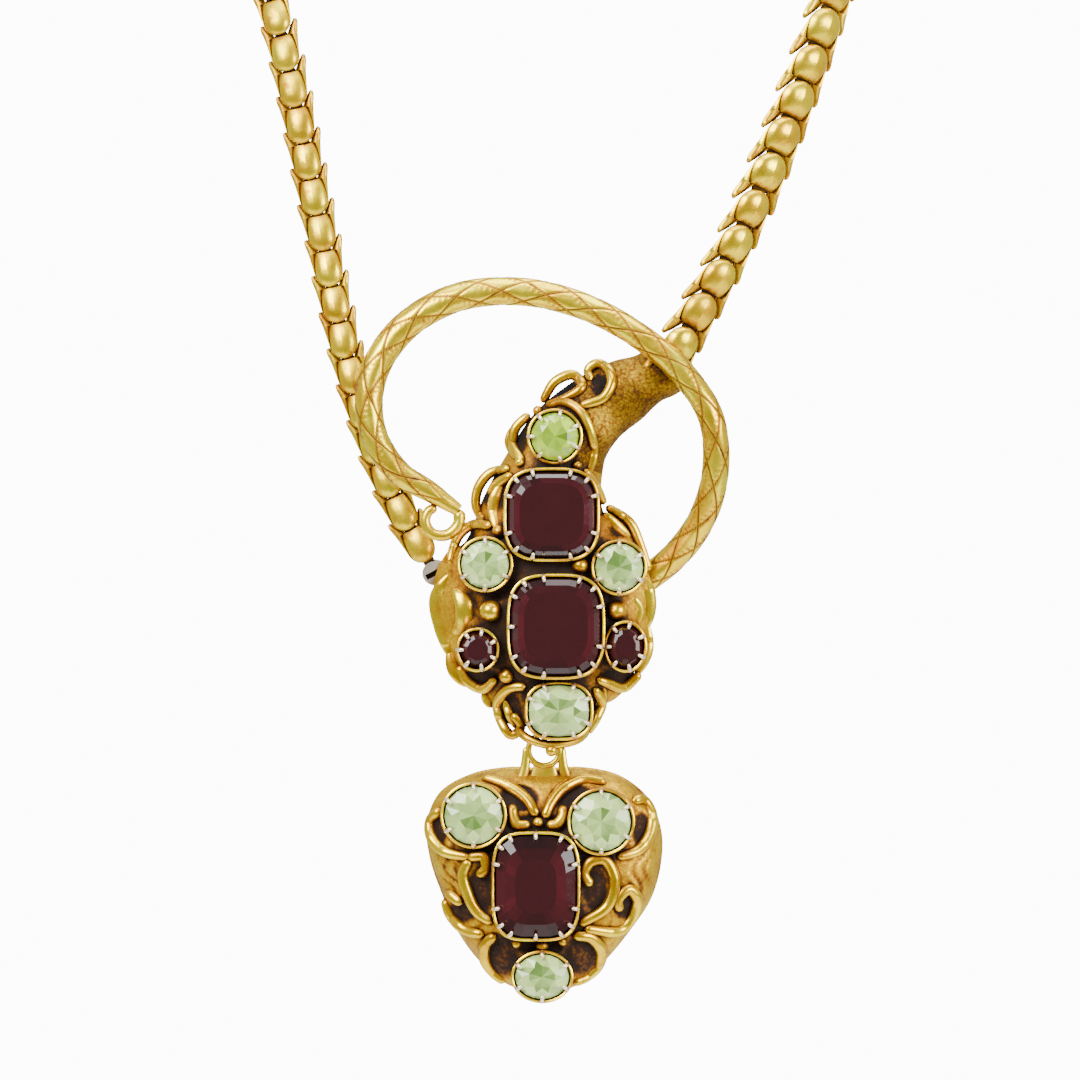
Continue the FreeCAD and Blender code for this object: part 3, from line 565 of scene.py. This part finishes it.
def gold(look, deep, middle, bright, rough, grain, grain_size, shade_and_tarnish, speckle):
    """Gold with a mottled colour, painted shade with brown patina where it is hidden or marked dark, and
    wear.
    """
    material = bpy.data.materials.new("gold_" + look)
    n = Nodes(material)
    colour = n.ramp(n.noise(MOTTLE_SCALE, 5.0), (0.3, deep), (0.5, middle), (0.72, bright))
    # Painted shade where nearby metal hides a place, which also stands for the patina of the hollows.
    recess = n.math("MULTIPLY", n.math("POWER", n.hollow(RECESS_REACH * MM), 1.3), shade_and_tarnish)
    spots = n.math("MULTIPLY", n.math("SUBTRACT", n.noise(SPOT_SCALE, 3.0), 0.57, clamp=True), 1.8)
    cells = n.cells(grain_size * 0.6)
    # The marked dark is painted shade with a little wear; the spots and speckle are real grime.
    dirt_and_shade = n.math("ADD", n.math("ADD", recess, n.attribute("dark")), spots)
    grime = n.math("MULTIPLY", n.math("SUBTRACT", cells, 0.35), speckle)
    dirt_and_shade = n.math("ADD", dirt_and_shade, grime, clamp=True)
    n.set("Base Color", n.multiply(colour, n.ramp(dirt_and_shade, *DIRT_AND_SHADE)))
    n.set("Metallic", n.math("SUBTRACT", 1.0, n.math("MULTIPLY", dirt_and_shade, 0.5)))
    wear = n.math("MULTIPLY", n.noise(WEAR_SCALE, 4.0), 0.22)
    dull = n.math("MULTIPLY", dirt_and_shade, 0.35)
    n.set("Roughness", n.math("ADD", n.math("ADD", wear, rough), dull, clamp=True))
    fine = n.math("ADD", n.noise(grain_size, 3.0), n.math("MULTIPLY", cells, 0.7))
    n.bump(fine, grain, 0.06 * MM)
    return material


def gem(look, dark, light, through, index, shine, cloudy):
    """Cut stone whose facets differ in tone, as painted facet light with a random spread."""
    material = bpy.data.materials.new(look + "_stone")
    n = Nodes(material)
    cloud = n.math("MULTIPLY", n.math("SUBTRACT", n.noise(520.0, 4.0), 0.5), cloudy)
    tone = n.math("ADD", n.attribute("tone"), cloud, clamp=True)
    n.set("Base Color", n.ramp(tone, (0.0, dark), (1.0, light)))
    n.set("Transmission Weight", through)
    n.set("IOR", index)
    n.set("Specular IOR Level", shine)
    n.set("Roughness", n.math("ADD", 0.03, n.math("MULTIPLY", n.noise(1500.0, 2.0), 0.08)))
    n.bump(n.noise(900.0, 2.0), 0.05, 0.02 * MM)
    return material


def materials():
    looks = {row[0]: gold(*row) for row in GOLDS}
    looks.update({row[0]: gem(*row) for row in GEMS})
    return looks


def sunk(x, z, hollows):
    """How deep a place lies in the hollows, from zero outside them to one."""
    deepest = 0.0
    for middle_x, middle_z, half_w, half_h in hollows:
        off = math.hypot((x - middle_x) / half_w, (z - middle_z) / half_h)
        deepest = max(deepest, 1.0 - min(1.0, max(0.0, (off - 0.75) / 0.35)))
    return deepest


def body_shell(top, bottom):
    """Fine rows along the snake's neck and head between two heights."""
    rows = even(curve_through([(x, 0.0, z, *rest) for x, z, *rest in BODY_ROWS], 24), BODY_STEP)
    rows = rows[(rows[:, 2] <= top) & (rows[:, 2] >= bottom)]
    along = unit(np.gradient(rows[:, :3], axis=0))
    side = np.column_stack([-along[:, 2], np.zeros(len(rows)), along[:, 0]])
    points = []
    dark = []
    for row, across in zip(rows, side):
        half, front, back, y = row[3:]
        middle = np.array([row[0], y, row[2]])
        for sign, rise in ((-1, front), (1, back)):
            radius = (half * half + rise * rise) / (2 * rise)
            reach = math.atan2(half, radius - rise)
            turns = np.linspace(-reach, reach, BODY_HALF_SIDES, endpoint=False)
            for turn in turns if sign < 0 else -turns:
                out = radius * math.sin(turn)
                lift = radius * math.cos(turn) - (radius - rise)
                point = middle + across * out + np.array([0.0, sign * lift, 0.0])
                depth = sunk(point[0], point[2], HEAD_HOLLOWS) if sign < 0 else 0.0
                point[1] += HOLLOW_DEPTH * depth
                points.append(point)
                # Painted shade in the hollows of the front and round the jewels of the head, over the even
                # OPEN_SHADE.
                inside = min(1.0, 1.6 * (1 - abs(out) / half))
                jewelled = min(1.0, max(0.0, (JEWELS_BELOW - row[2]) / 4.0)) if sign < 0 else 0.0
                dark.append(OPEN_SHADE + max(HEAD_HOLLOW_SHADE * depth, JEWEL_SHADE * jewelled * inside))
    return (points, lidded(len(rows), 2 * BODY_HALF_SIDES)), dark


def body_front(x, z):
    """Depth of the body's front at a place seen from the front."""
    best = None
    place = np.array([x, z])
    for low, high in zip(BODY_ROWS, BODY_ROWS[1:]):
        start, run = np.array(low[:2]), np.array(high[:2]) - np.array(low[:2])
        share = min(1.0, max(0.0, (place - start).dot(run) / run.dot(run)))
        off = np.linalg.norm(place - start - run * share)
        if best is None or off < best[0]:
            best = (off, [a + (b - a) * share for a, b in zip(low[2:], high[2:])])
    off, (half, front, _, y) = best
    radius = (half * half + front * front) / (2 * front)
    off = min(off, half)
    return y - (math.sqrt(radius * radius - off * off) - (radius - front))


def heart_reach():
    """How far the heart's outline lies from its centre, by angle."""
    ring = curve_through([(x, 0.0, z) for x, z in HEART_OUTLINE + HEART_OUTLINE[:1]], 24)
    angles = np.unwrap(np.arctan2(ring[:, 2], ring[:, 0]))
    reach = np.hypot(ring[:, 0], ring[:, 2])
    return angles, reach


HEART_ANGLES, HEART_REACH = heart_reach()


def reach_at(angle):
    low = HEART_ANGLES[0]
    return np.interp((angle - low) % (2 * math.pi), HEART_ANGLES - low, HEART_REACH)


def heart_front(x, z):
    """Depth of the heart's front at a place seen from the front."""
    off = np.array([x - HEART_CENTRE[0], z - HEART_CENTRE[2]])
    share = np.linalg.norm(off) / reach_at(math.atan2(off[1], off[0]))
    shares, depths = zip(*reversed(HEART_PROFILE[1:]))
    return float(np.interp(share, shares, depths))


def heart_shell():
    """Domed heart, rounded at its edge and chased at its sides."""
    rows = [(0.0, HEART_BACK), *HEART_PROFILE, (0.0, HEART_CROWN)]
    profile = curve_through([(share, y, 0.0) for share, y in rows], 14)
    points = []
    dark = []
    for share, y, _ in profile:
        for j in range(HEART_SIDES):
            angle = 2 * math.pi * j / HEART_SIDES
            reach = reach_at(angle) * share
            front = y < -0.6
            chase = 0.0
            if front and LEAF_FROM < share < LEAF_TO:
                turn = (angle - LEAF_TURN + math.pi) % (2 * math.pi) - math.pi
                beside = math.pi - abs(turn) if abs(turn) > math.pi / 2 else abs(turn)
                veins = math.sin(LEAF_VEINS * share + LEAF_SWIRL * math.sin(angle * LEAF_LOBES))
                fade = math.sin(math.pi * (share - LEAF_FROM) / (LEAF_TO - LEAF_FROM))
                chase = LEAF_DEPTH * math.exp(-(beside / LEAF_SPREAD) ** 2) * veins * fade
            point = HEART_CENTRE + np.array([reach * math.cos(angle), y + chase, reach * math.sin(angle)])
            depth = sunk(point[0], point[2], HEART_HOLLOWS) if front else 0.0
            point[1] += HOLLOW_DEPTH * depth
            points.append(point)
            # Painted shade in the hollows, round the jewels and in the chased grooves.
            inner = min(1.0, max(0.0, (0.66 - share) / 0.14)) if front else 0.0
            shade = max(HEART_HOLLOW_SHADE * depth, JEWEL_SHADE * inner)
            dark.append(OPEN_SHADE + shade + max(0.0, chase) * CHASED_SHADE)
    return (points, lidded(len(profile), HEART_SIDES)), dark


def lifted(points, front, rise):
    """A drawn curve laid on a surface."""
    line = even(curve_through([(x, 0.0, z) for x, z in points], 20), WIRE_STEP)
    return np.array([(x, front(x, z) - rise, z) for x, _, z in line])


def scrolls(piece, rows, front, wire):
    """Scroll wires, thickest in the middle and rounded at both ends."""
    for points in rows:
        path = lifted(points, front, WIRE_LIFT)
        share = np.linspace(0, 1, len(path))
        radius = round_ends(path, wire * (0.8 + 0.2 * np.sin(math.pi * share ** 0.8)))
        piece.add(tube(path, radius, flat=0.85))


def lobes(piece, rows, front):
    """Flat lobes that swell from their ends to the middle."""
    for points, half in rows:
        path = lifted(points, front, 0.0)
        share = np.linspace(0, 1, len(path))
        radius = half * np.sqrt(np.clip(1 - (2 * share - 1) ** 2, 0.002, 1))
        piece.add(tube(path, radius, sides=24, flat=0.5))


def stone_ring(x, z, half_w, half_h, power, y, sides, turn=0.5):
    """Ring of points round a stone: an ellipse at power two and squarer above it."""
    angles = 2 * math.pi * (np.arange(sides) + turn) / sides
    c, s = np.cos(angles), np.sin(angles)
    return np.column_stack([
        x + half_w * np.sign(c) * np.abs(c) ** (2 / power),
        np.full(sides, y),
        z + half_h * np.sign(s) * np.abs(s) ** (2 / power)])


def settings(rows, base, rims, claws):
    """Thin collets round the stones, and their claws."""
    for name, x, z, half_w, half_h, power, girdle, count, _ in rows:
        grow = GAP + SETTING_WALL
        lip = girdle - SETTING_LIP
        back = MOUTH_FRONT - 0.1 if name == "head_peridot_bottom" else base
        #  growth beyond the stone, y, shade
        profile = [
            (grow - 0.45, back, 0.35), (grow - 0.12, girdle + 0.9, 0.15), (grow, lip + 0.16, 0.0),
            (grow - 0.04, lip - 0.02, 0.0), (grow - 0.14, lip - 0.07, 0.0), (grow - 0.26, lip - 0.02, 0.0),
            (GAP, lip + 0.12, 0.5), (GAP - 0.1, girdle + 0.9, 0.9),
        ]
        rings = [
            stone_ring(x, z, half_w + more, half_h + more, power, y, RIM_SIDES) for more, y, _ in profile
        ]
        shade = np.repeat([row[2] for row in profile], RIM_SIDES)
        rims.add((np.vstack(rings), lidded(len(rings), RIM_SIDES)), dark=shade)
        for i in range(count):
            angle = 2 * math.pi * (i + 0.5) / count
            c, s = math.cos(angle), math.sin(angle)
            edge = np.array([
                x + half_w * math.copysign(abs(c) ** (2 / power), c), girdle,
                z + half_h * math.copysign(abs(s) ** (2 / power), s)])
            out = unit(np.array([c / half_w, 0.0, s / half_h]))
            points = [edge + out * away + FRONT * rise for away, rise in CLAW_BEND]
            path = even(curve_through(points, 8), 0.08)
            taper = CLAW_WIRE * np.linspace(1.05, 0.6, len(path))
            claws.add(tube(path, round_ends(path, taper), up=np.cross(out, FRONT), sides=10))


def fan(start, sides):
    """Triangles from the point after a ring to each of its sides."""
    return [(start + i, start + (i + 1) % sides, start + sides) for i in range(sides)]


def step_cut(row, rnd):
    """Cushion with a large flat table, two steps of facets round it and a stepped pavilion."""
    _, x, z, half_w, half_h, power, girdle, _, table = row
    sides = 20 if half_w > BIG_STONE else 12
    half_w, half_h = half_w * STONE_SHARE, half_h * STONE_SHARE
    #  share of the girdle, rise above it
    levels = [
        (table, 0.62), (0.5 + 0.5 * table, 0.46), (1.0, 0.05), (1.0, -0.12), (0.62, -0.85), (0.12, -1.4),
    ]
    rings = [
        stone_ring(x, z, half_w * share, half_h * share, power, girdle - rise, sides)
        for share, rise in levels
    ]
    faces = [tuple(range(sides)), *grid_faces(len(levels), sides)]
    last = (len(levels) - 1) * sides
    faces.append(tuple(range(last, last + sides)))
    # Painted facet light: the crown facets towards the left and right are painted lighter, as reflections,
    # and every facet gets a random spread.
    turns = 2 * math.pi * (np.arange(sides) + 1.0) / sides
    beside = np.abs(np.cos(turns)) ** 2
    steps = [0.28 + 0.55 * beside, 0.12 + 0.6 * beside, 0.2, 0.3, 0.3]
    facet_tone_and_light = [0.36]
    for step in steps:
        facet_tone_and_light += list(np.clip(step + rnd.normal(0, 0.12, sides), 0, 1))
    return (np.vstack(rings), faces), facet_tone_and_light + [0.2]


def brilliant_cut(row, rnd):
    """Round cut of flat facets, with the pavilion's facets showing as sectors of the table."""
    _, x, z, half_w, half_h, power, girdle, _, table = row
    mains = BRILLIANT_MAINS
    around = 2 * mains
    half_w, half_h = half_w * STONE_SHARE, half_h * STONE_SHARE

    def ring(share, rise, sides, turn):
        return stone_ring(x, z, half_w * share, half_h * share, power, girdle - rise, sides, turn)

    centre = np.array([[x, girdle - 0.58, z]])
    middle = 0.5 + 0.5 * table
    rings = [
        ring(table, 0.60, mains, 0.5), centre, ring(middle, 0.42, mains, 0.0),
        ring(1.0, 0.02, around, 0.0), ring(1.0, -0.1, around, 0.0),
        ring(0.55, -0.9, mains, 0.0), ring(0.1, -1.3, mains, 0.5),
    ]
    starts = np.cumsum([0] + [len(points) for points in rings]).tolist()
    top, _, star, edge, low, deep, culet, _ = starts
    faces = fan(top, mains)
    # Painted facet light: the table's sectors darker, the crown and girdle facets lighter, as reflections,
    # each facet with a random spread.
    facet_tone_and_light = list(np.clip(rnd.normal(0.28, 0.16, mains), 0, 1))
    for i in range(mains):
        j = (i + 1) % mains
        left, tip, right = edge + 2 * i, edge + 2 * i + 1, edge + (2 * i + 2) % around
        faces += [
            (top + i, top + j, star + j), (top + i, star + j, tip, star + i),
            (star + i, tip, left), (star + j, right, tip),
        ]
        facet_tone_and_light += list(np.clip(rnd.normal((0.5, 0.78, 0.7, 0.7), 0.24), 0, 1))
    faces += grid_faces(2, around, start=edge)
    facet_tone_and_light += [0.6] * around
    for i in range(mains):
        j = (i + 1) % mains
        left, tip, right = low + 2 * i, low + 2 * i + 1, low + (2 * i + 2) % around
        faces += [
            (left, tip, deep + i), (tip, right, deep + j), (tip, deep + j, deep + i),
            (deep + i, deep + j, culet + i), (deep + j, culet + j, culet + i),
        ]
        facet_tone_and_light += list(np.clip(rnd.normal(0.5, 0.25, 5), 0, 1))
    faces.append(tuple(range(culet, culet + mains)))
    return (np.vstack(rings), faces), facet_tone_and_light + [0.3]


def stones(rows, looks, body):
    """Each stone is a piece of its own, with painted facet light on its facets, spread at random."""
    for number, row in enumerate(rows):
        rnd = np.random.default_rng(STONE_SEED + number)
        kind, cut = ("garnet", step_cut) if "garnet" in row[0] else ("peridot", brilliant_cut)
        look = "peridot_top" if row[0] == "head_peridot_top" else kind
        shape, facet_tone_and_light = cut(row, rnd)
        piece = Piece()
        piece.add(shape, tone=facet_tone_and_light)
        piece.build(row[0] + "_cut", looks[look], body, kind, [row[0]], sharp=0)


def beads(piece, rows, front):
    for x, z, radius in rows:
        piece.add(ball((x, front(x, z) - 0.42 * radius, z), radius))


def head(looks):
    """Smooth head and matted neck, with scrolls, lobes, beads, the mouth ring and the settings."""
    #  name, look, top, bottom, solids that it replaces
    shells = [
        ("head_shell", "brushed", NECK_LOW, -BODY_END, ["head"]),
        ("neck_shell", "matted", BODY_END, NECK_LOW - NECK_OVERLAP, []),
    ]
    for name, look, top, bottom, nodes in shells:
        shell, dark = body_shell(top, bottom)
        piece = Piece()
        piece.add(shell, dark=dark)
        piece.build(name, looks[look], "snake", "head_gold", nodes)
    trim = Piece()
    scrolls(trim, HEAD_SCROLLS, body_front, HEAD_WIRE)
    lobes(trim, HEAD_LOBES, body_front)
    beads(trim, HEAD_BEADS, body_front)
    bar = even(curve_through(MUZZLE_BAR, 12), WIRE_STEP)
    trim.add(tube(bar, round_ends(bar, np.full(len(bar), MUZZLE_WIRE))))
    trim.add(ball(MUZZLE_BEAD, MUZZLE_BEAD_RADIUS))
    lift = MOUTH_RING_RADIUS - MOUTH_RING_WIRE - LUG_WIRE - RING_CLEARANCE
    ring_middle = PIVOT + np.array([0, 0, lift])
    trim.add(torus(ring_middle, MOUTH_RING_RADIUS, MOUTH_RING_WIRE, (1.0, 0.0, 0.0)))
    rims, claws = Piece(), Piece()
    settings(HEAD_STONES, HEAD_SETTING_BASE, rims, claws)
    trim.build("head_trim", looks["polished"], "snake", "head_gold")
    rims.build("head_settings", looks["polished"], "snake", "head_gold")
    claws.build("head_claws", looks["claw"], "snake", "head_gold")
    stones(HEAD_STONES, looks, "snake")


def heart(looks):
    """Chased heart with its scrolls, beads, settings and the lug that hangs from the mouth ring."""
    shell, dark = heart_shell()
    piece = Piece()
    piece.add(shell, dark=dark)
    piece.build("heart_shell", looks["brushed"], "heart", "heart_gold", ["heart"])
    trim = Piece()
    scrolls(trim, HEART_SCROLLS, heart_front, HEART_WIRE)
    beads(trim, HEART_BEADS, heart_front)
    trim.add(torus(PIVOT - np.array([0, 0, LUG_RADIUS]), LUG_RADIUS, LUG_WIRE, (0.0, 1.0, 0.0)))
    for side in (-1, 1):
        foot = [PIVOT + np.array([side * x, 0, z]) for x, z in LUG_FOOT]
        path = even(curve_through(foot, 8), 0.15)
        trim.add(tube(path, round_ends(path, np.linspace(0.36, 0.6, len(path))), flat=0.6))
    plate = even(curve_through([PIVOT + np.array([0, 0, z]) for z in LUG_PLATE_HEIGHTS], 8), 0.2)
    trim.add(tube(plate, np.linspace(1.0, 1.7, len(plate)), flat=0.16, sides=20))
    rims, claws = Piece(), Piece()
    settings(HEART_STONES, HEART_SETTING_BASE, rims, claws)
    trim.build("heart_trim", looks["polished"], "heart", "heart_gold")
    rims.build("heart_settings", looks["polished"], "heart", "heart_gold")
    claws.build("heart_claws", looks["claw"], "heart", "heart_gold")
    stones(HEART_STONES, looks, "heart")


def hoop(looks):
    """Tube of the tail, engraved with long lozenges and fine ticks, and its curled tip."""
    rows = even(curve_through(HOOP_ROWS, 40), HOOP_STEP)
    path, radius = rows[:, :3], rows[:, 3]
    along = unit(np.gradient(path, axis=0))
    across = unit(np.cross(along, FRONT))
    height = np.cross(across, along)
    length = reached(path)[:, None]
    turns = (2 * math.pi * np.arange(HOOP_SIDES) / HOOP_SIDES)[None, :]
    u, v = turns * LOZENGES_ROUND / (2 * math.pi), length / LOZENGE_LENGTH
    girth = 2 * math.pi * radius[:, None] / LOZENGES_ROUND
    slope = girth * LOZENGE_LENGTH / np.hypot(girth, LOZENGE_LENGTH)
    groove = np.zeros_like(u + v)
    for phase in (u + v, u - v):
        off = np.abs(phase - np.round(phase)) * slope
        groove = np.maximum(groove, np.exp(-(off / GROOVE_WIDTH) ** 2))
    off = (u + v) - np.floor(u + v)
    ticks = (np.abs((length / TICK_PITCH) % 1.0 - 0.5) < 0.2) & (off > 0.06) & (off < 0.30)
    fade = np.clip((length[-1] - length) / PLAIN_TIP, 0, 1)
    mark = np.maximum(groove, TICK_SHARE * ticks) * fade
    size = radius[:, None] - GROOVE_DEPTH * mark
    ring = np.cos(turns)[..., None] * across[:, None, :] + np.sin(turns)[..., None] * height[:, None, :]
    points = (path[:, None, :] + size[..., None] * ring).reshape(-1, 3)
    piece = Piece()
    piece.add((points, lidded(len(path), HOOP_SIDES)), dark=(mark * ENGRAVED_SHADE).reshape(-1))
    curl = even(curve_through([(x, CURL_Y, z) for x, z in CURL_POINTS], 16), WIRE_STEP)
    taper = CURL_WIRE * np.linspace(1.15, 0.9, len(curl))
    piece.add(tube(curl, round_ends(curl, taper)))
    piece.build("tail_hoop_engraved", looks["engraved"], "snake", "hoop_gold", ["tail_hoop"], sharp=60)


def weld(points, faces, dark):
    """Joins points that lie on each other."""
    both = np.column_stack([points, dark])
    single, where = np.unique(np.round(both, 5), axis=0, return_inverse=True)
    where = where.reshape(-1)
    return (single[:, :3], [tuple(int(where[i]) for i in face) for face in faces]), single[:, 3]


def scale(back):
    """Domed scale of unit width: round in front, with two pointed ears beside the next scale."""
    tail = back - NOTCH_LENGTH
    #  along, outer edge, inner edge, edge of the dome, crest, height of the edge
    rows = [
        (-1.17, 0.20, 0.0, 0.18, 1.00, 0.92), (-1.09, 0.56, 0.0, 0.52, 1.14, 0.89),
        (-0.90, 0.86, 0.0, 0.81, 1.27, 0.86), (-0.60, 1.13, 0.0, 1.07, 1.39, 0.82),
        (-0.25, 1.31, 0.0, 1.24, 1.46, 0.78), (0.10, 1.39, 0.0, 1.29, 1.47, 0.73),
        (0.1 + 0.35 * (tail - 0.1), 1.47, 0.0, 1.27, 1.38, 0.67),
        (0.1 + 0.7 * (tail - 0.1), 1.56, 0.0, 1.18, 1.15, 0.61),
        (tail, 1.65, 0.0, 1.02, 0.86, 0.56), (tail + 0.02, 1.65, 0.60, 0.80, 0.66, 0.55),
        (back - 0.85, 1.75, 0.84, 0.95, 0.58, 0.50), (back - 0.45, 1.84, 1.10, 1.18, 0.54, 0.47),
        (back - 0.15, 1.87, 1.33, 1.39, 0.50, 0.45), (back + 0.06, 1.84, 1.50, 1.54, 0.48, 0.44),
        (back + 0.16, 1.75, 1.60, 1.63, 0.46, 0.43),
    ]
    dome_shares = (0.0, 0.35, 0.65, 0.86, 1.0)
    ear_shares = (0.3, 0.65, 0.9, 1.0)
    columns = len(dome_shares) + len(ear_shares)
    points, faces, dark = [], [], []
    for side in (-1, 1):
        start = len(points)
        top, under, ear_shade = [], [], []
        for x, outer, inner, dome, crest, edge in rows:
            across = []
            for share in dome_shares:
                y = inner + (dome - inner) * share
                rounding = 1 - (y / dome) ** 2 if inner == 0.0 else 1 - share
                across.append((y, edge + (crest - edge) * max(0.0, rounding) ** 0.55))
            swell = 0.30 * min(1.0, (outer - dome) / 0.5)
            for share in ear_shares:
                y = dome + (outer - dome) * share
                across.append((y, edge + swell * math.sin(math.pi * share) ** 0.7))
            for y, z in across:
                top.append((x, side * y, z))
                under.append((x + 0.03, side * y * 0.94, z - SHEET))
                # Painted shade on the ears, which lie under the next scale's nose.
                ear_shade.append(0.0 if x < tail - 0.2 else 0.18)
        count = len(top)
        points += top + under
        # The underside is painted dark as shade.
        dark += ear_shade + [0.75] * count
        grid = grid_faces(len(rows), columns, closed=False, start=start)
        faces += grid + [tuple(i + count for i in reversed(face)) for face in grid]
        notch = [start + i * columns for i, row in enumerate(rows) if row[2] > 0.0]
        rim = [start + i * columns + columns - 1 for i in range(len(rows))]
        nose = [start + j for j in range(columns)]
        for line in (notch, rim, nose):
            faces += [(a, b, b + count, a + count) for a, b in zip(line, line[1:])]
    return weld(np.array(points), faces, dark)


def link_parts(back):
    """Everything of one link of unit width: scale, tongue ring, its root and the stud."""
    parts = [scale(back)]
    turns = np.linspace(0, 2 * math.pi, 15)
    loop = [(back + 0.62 * math.cos(t), 0.5 * math.sin(t), 0.2 - 0.07 * math.cos(t)) for t in turns]
    # The tongue ring, its root and the stud lie under the scales and carry painted shade.
    parts.append((tube(loop, 0.13, up=np.array([0.0, 0.0, 1.0]), sides=6, flat=0.8), 0.5))
    root = [(back - 1.6, 0.0, 0.56), (back - 1.0, 0.0, 0.46), (back - 0.62, 0.0, 0.3)]
    parts.append((tube(root, [0.8, 0.6, 0.45], up=np.array([0.0, 0.0, 1.0]), sides=8, flat=0.25), 0.5))
    stud = []
    #  height, reach along the chain
    heights = [(-0.6, 0.62), (-0.45, 0.6), (0.9, 0.15)]
    for z, reach in heights:
        stud += [(reach * math.cos(t), 0.24 * math.sin(t), z) for t in 2 * math.pi * np.arange(10) / 10]
    parts.append(((np.array(stud), lidded(len(heights), 10)), 0.5))
    return parts


def link_places():
    """Start of each link, its outward side, and its width and pitch."""
    line = curve_through([row[:3] for row in CHAIN_ROWS])
    along = reached(line)
    sizes = [(width, pitch) for count, width, pitch in CHAIN_SIZES for _ in range(count)]
    stretch = along[-1] / sum(pitch for _, pitch in sizes)
    stops = np.concatenate([[0.0], np.cumsum([pitch * stretch for _, pitch in sizes])])
    places = np.column_stack([np.interp(stops, along, line[:, i]) for i in range(3)])
    rows = np.interp(stops, along, np.arange(len(line)) / CURVE_STEPS)
    facing = [row[3] for row in CHAIN_ROWS]
    turn = np.radians(np.interp(rows, np.arange(len(facing)), facing))
    outward = np.column_stack([np.sin(turn), -np.cos(turn), np.zeros(len(turn))])
    return places, outward, sizes


def placed(points, start, end, outward, size):
    """Points of a link of unit width, laid from its start towards its end."""
    along = unit(end - start)
    across = unit(np.cross(outward, along))
    face = np.cross(along, across)
    points = np.asarray(points) * size
    return start + points[:, :1] * along + points[:, 1:2] * across + points[:, 2:3] * face


def chain(looks):
    """All links, each a little more or less worn, and the last scale over the joint to the neck."""
    places, outward, sizes = link_places()
    piece = Piece()
    made = {}
    rnd = np.random.default_rng(WEAR_SEED)
    for i, (width, _) in enumerate(sizes):
        size = width / LINK_UNIT_WIDTH
        if width not in made:
            made[width] = link_parts(np.linalg.norm(places[i + 1] - places[i]) / size)
        worn = rnd.uniform(0.0, 0.10)
        for (points, faces), dark in made[width]:
            points = placed(points, places[i], places[i + 1], outward[i], size)
            piece.add((points, faces), dark=dark + worn)
    (points, faces), dark = scale(CAP_PITCH)
    points = placed(points, places[-1], NECK_END, outward[-2], sizes[-1][0] / LINK_UNIT_WIDTH)
    piece.add((points, faces), dark=dark)
    piece.build("chain_scales", looks["chain"], "snake", "chain_gold", ["chain"], sharp=50)


def clasp(looks):
    """The small round box at the chain's end keeps its own form and gets only its gold."""
    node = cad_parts["clasp"]
    node.data.materials.clear()
    node.data.materials.append(looks["clasp"])


def lamps():
    for name, place, size, power in LAMPS:
        lamp = bpy.data.lights.new(name, "AREA")
        lamp.size = size
        lamp.energy = power
        thing = bpy.data.objects.new(name, lamp)
        bpy.context.scene.collection.objects.link(thing)
        thing.location = place
        thing.rotation_euler = (Vector(LAMPS_AIM) - Vector(place)).to_track_quat("-Z", "Y").to_euler()


def floor():
    """Plain pale floor far below."""
    corners = [(-1, -1), (1, -1), (1, 1), (-1, 1)]
    points = [(x * FLOOR_HALF, y * FLOOR_HALF, FLOOR_HEIGHT) for x, y in corners]
    mesh = bpy.data.meshes.new("floor")
    mesh.from_pydata(points, [], [(0, 1, 2, 3)])
    thing = bpy.data.objects.new("floor", mesh)
    bpy.context.scene.collection.objects.link(thing)
    material = bpy.data.materials.new("pale_floor")
    n = Nodes(material)
    n.set("Base Color", n.ramp(n.noise(30.0), (0.3, (0.80, 0.80, 0.79)), (0.7, (0.86, 0.86, 0.85))))
    n.set("Roughness", 0.7)
    mesh.materials.append(material)


def surround():
    """White surround that is greyer in front, and brighter where it is seen itself."""
    world = bpy.data.worlds.new("studio")
    bpy.context.scene.world = world
    n = Nodes(world, "Background", "Generated")
    split = n.tree.nodes.new("ShaderNodeSeparateXYZ")
    n.link(n.place, split.inputs[0])
    depth = n.math("MULTIPLY_ADD", split.outputs["Y"], 0.5, 0.5)
    n.set("Color", n.ramp(depth, *[(place, (grey, grey, grey)) for place, grey in SURROUND]))
    seen = n.tree.nodes.new("ShaderNodeLightPath").outputs["Is Camera Ray"]
    n.set("Strength", n.math("MULTIPLY_ADD", seen, WHITE_BEHIND, WORLD_LIGHT))


def camera():
    """Straight on, framing what the photograph shows."""
    data = bpy.data.cameras.new("camera")
    data.sensor_width = SENSOR
    data.lens = SENSOR * CAMERA_AWAY / (PHOTO_WIDTH_MM * MM)
    data.clip_start = 0.01
    thing = bpy.data.objects.new("camera", data)
    bpy.context.scene.collection.objects.link(thing)
    thing.location = (0.0, (JEWEL_Y - NAPE[1]) * MM - CAMERA_AWAY, -NAPE[2] * MM)
    thing.rotation_euler = (math.radians(90), 0.0, 0.0)
    bpy.context.scene.camera = thing


looks = materials()
chain(looks)
clasp(looks)
hoop(looks)
head(looks)
heart(looks)
floor()
surround()
lamps()
camera()
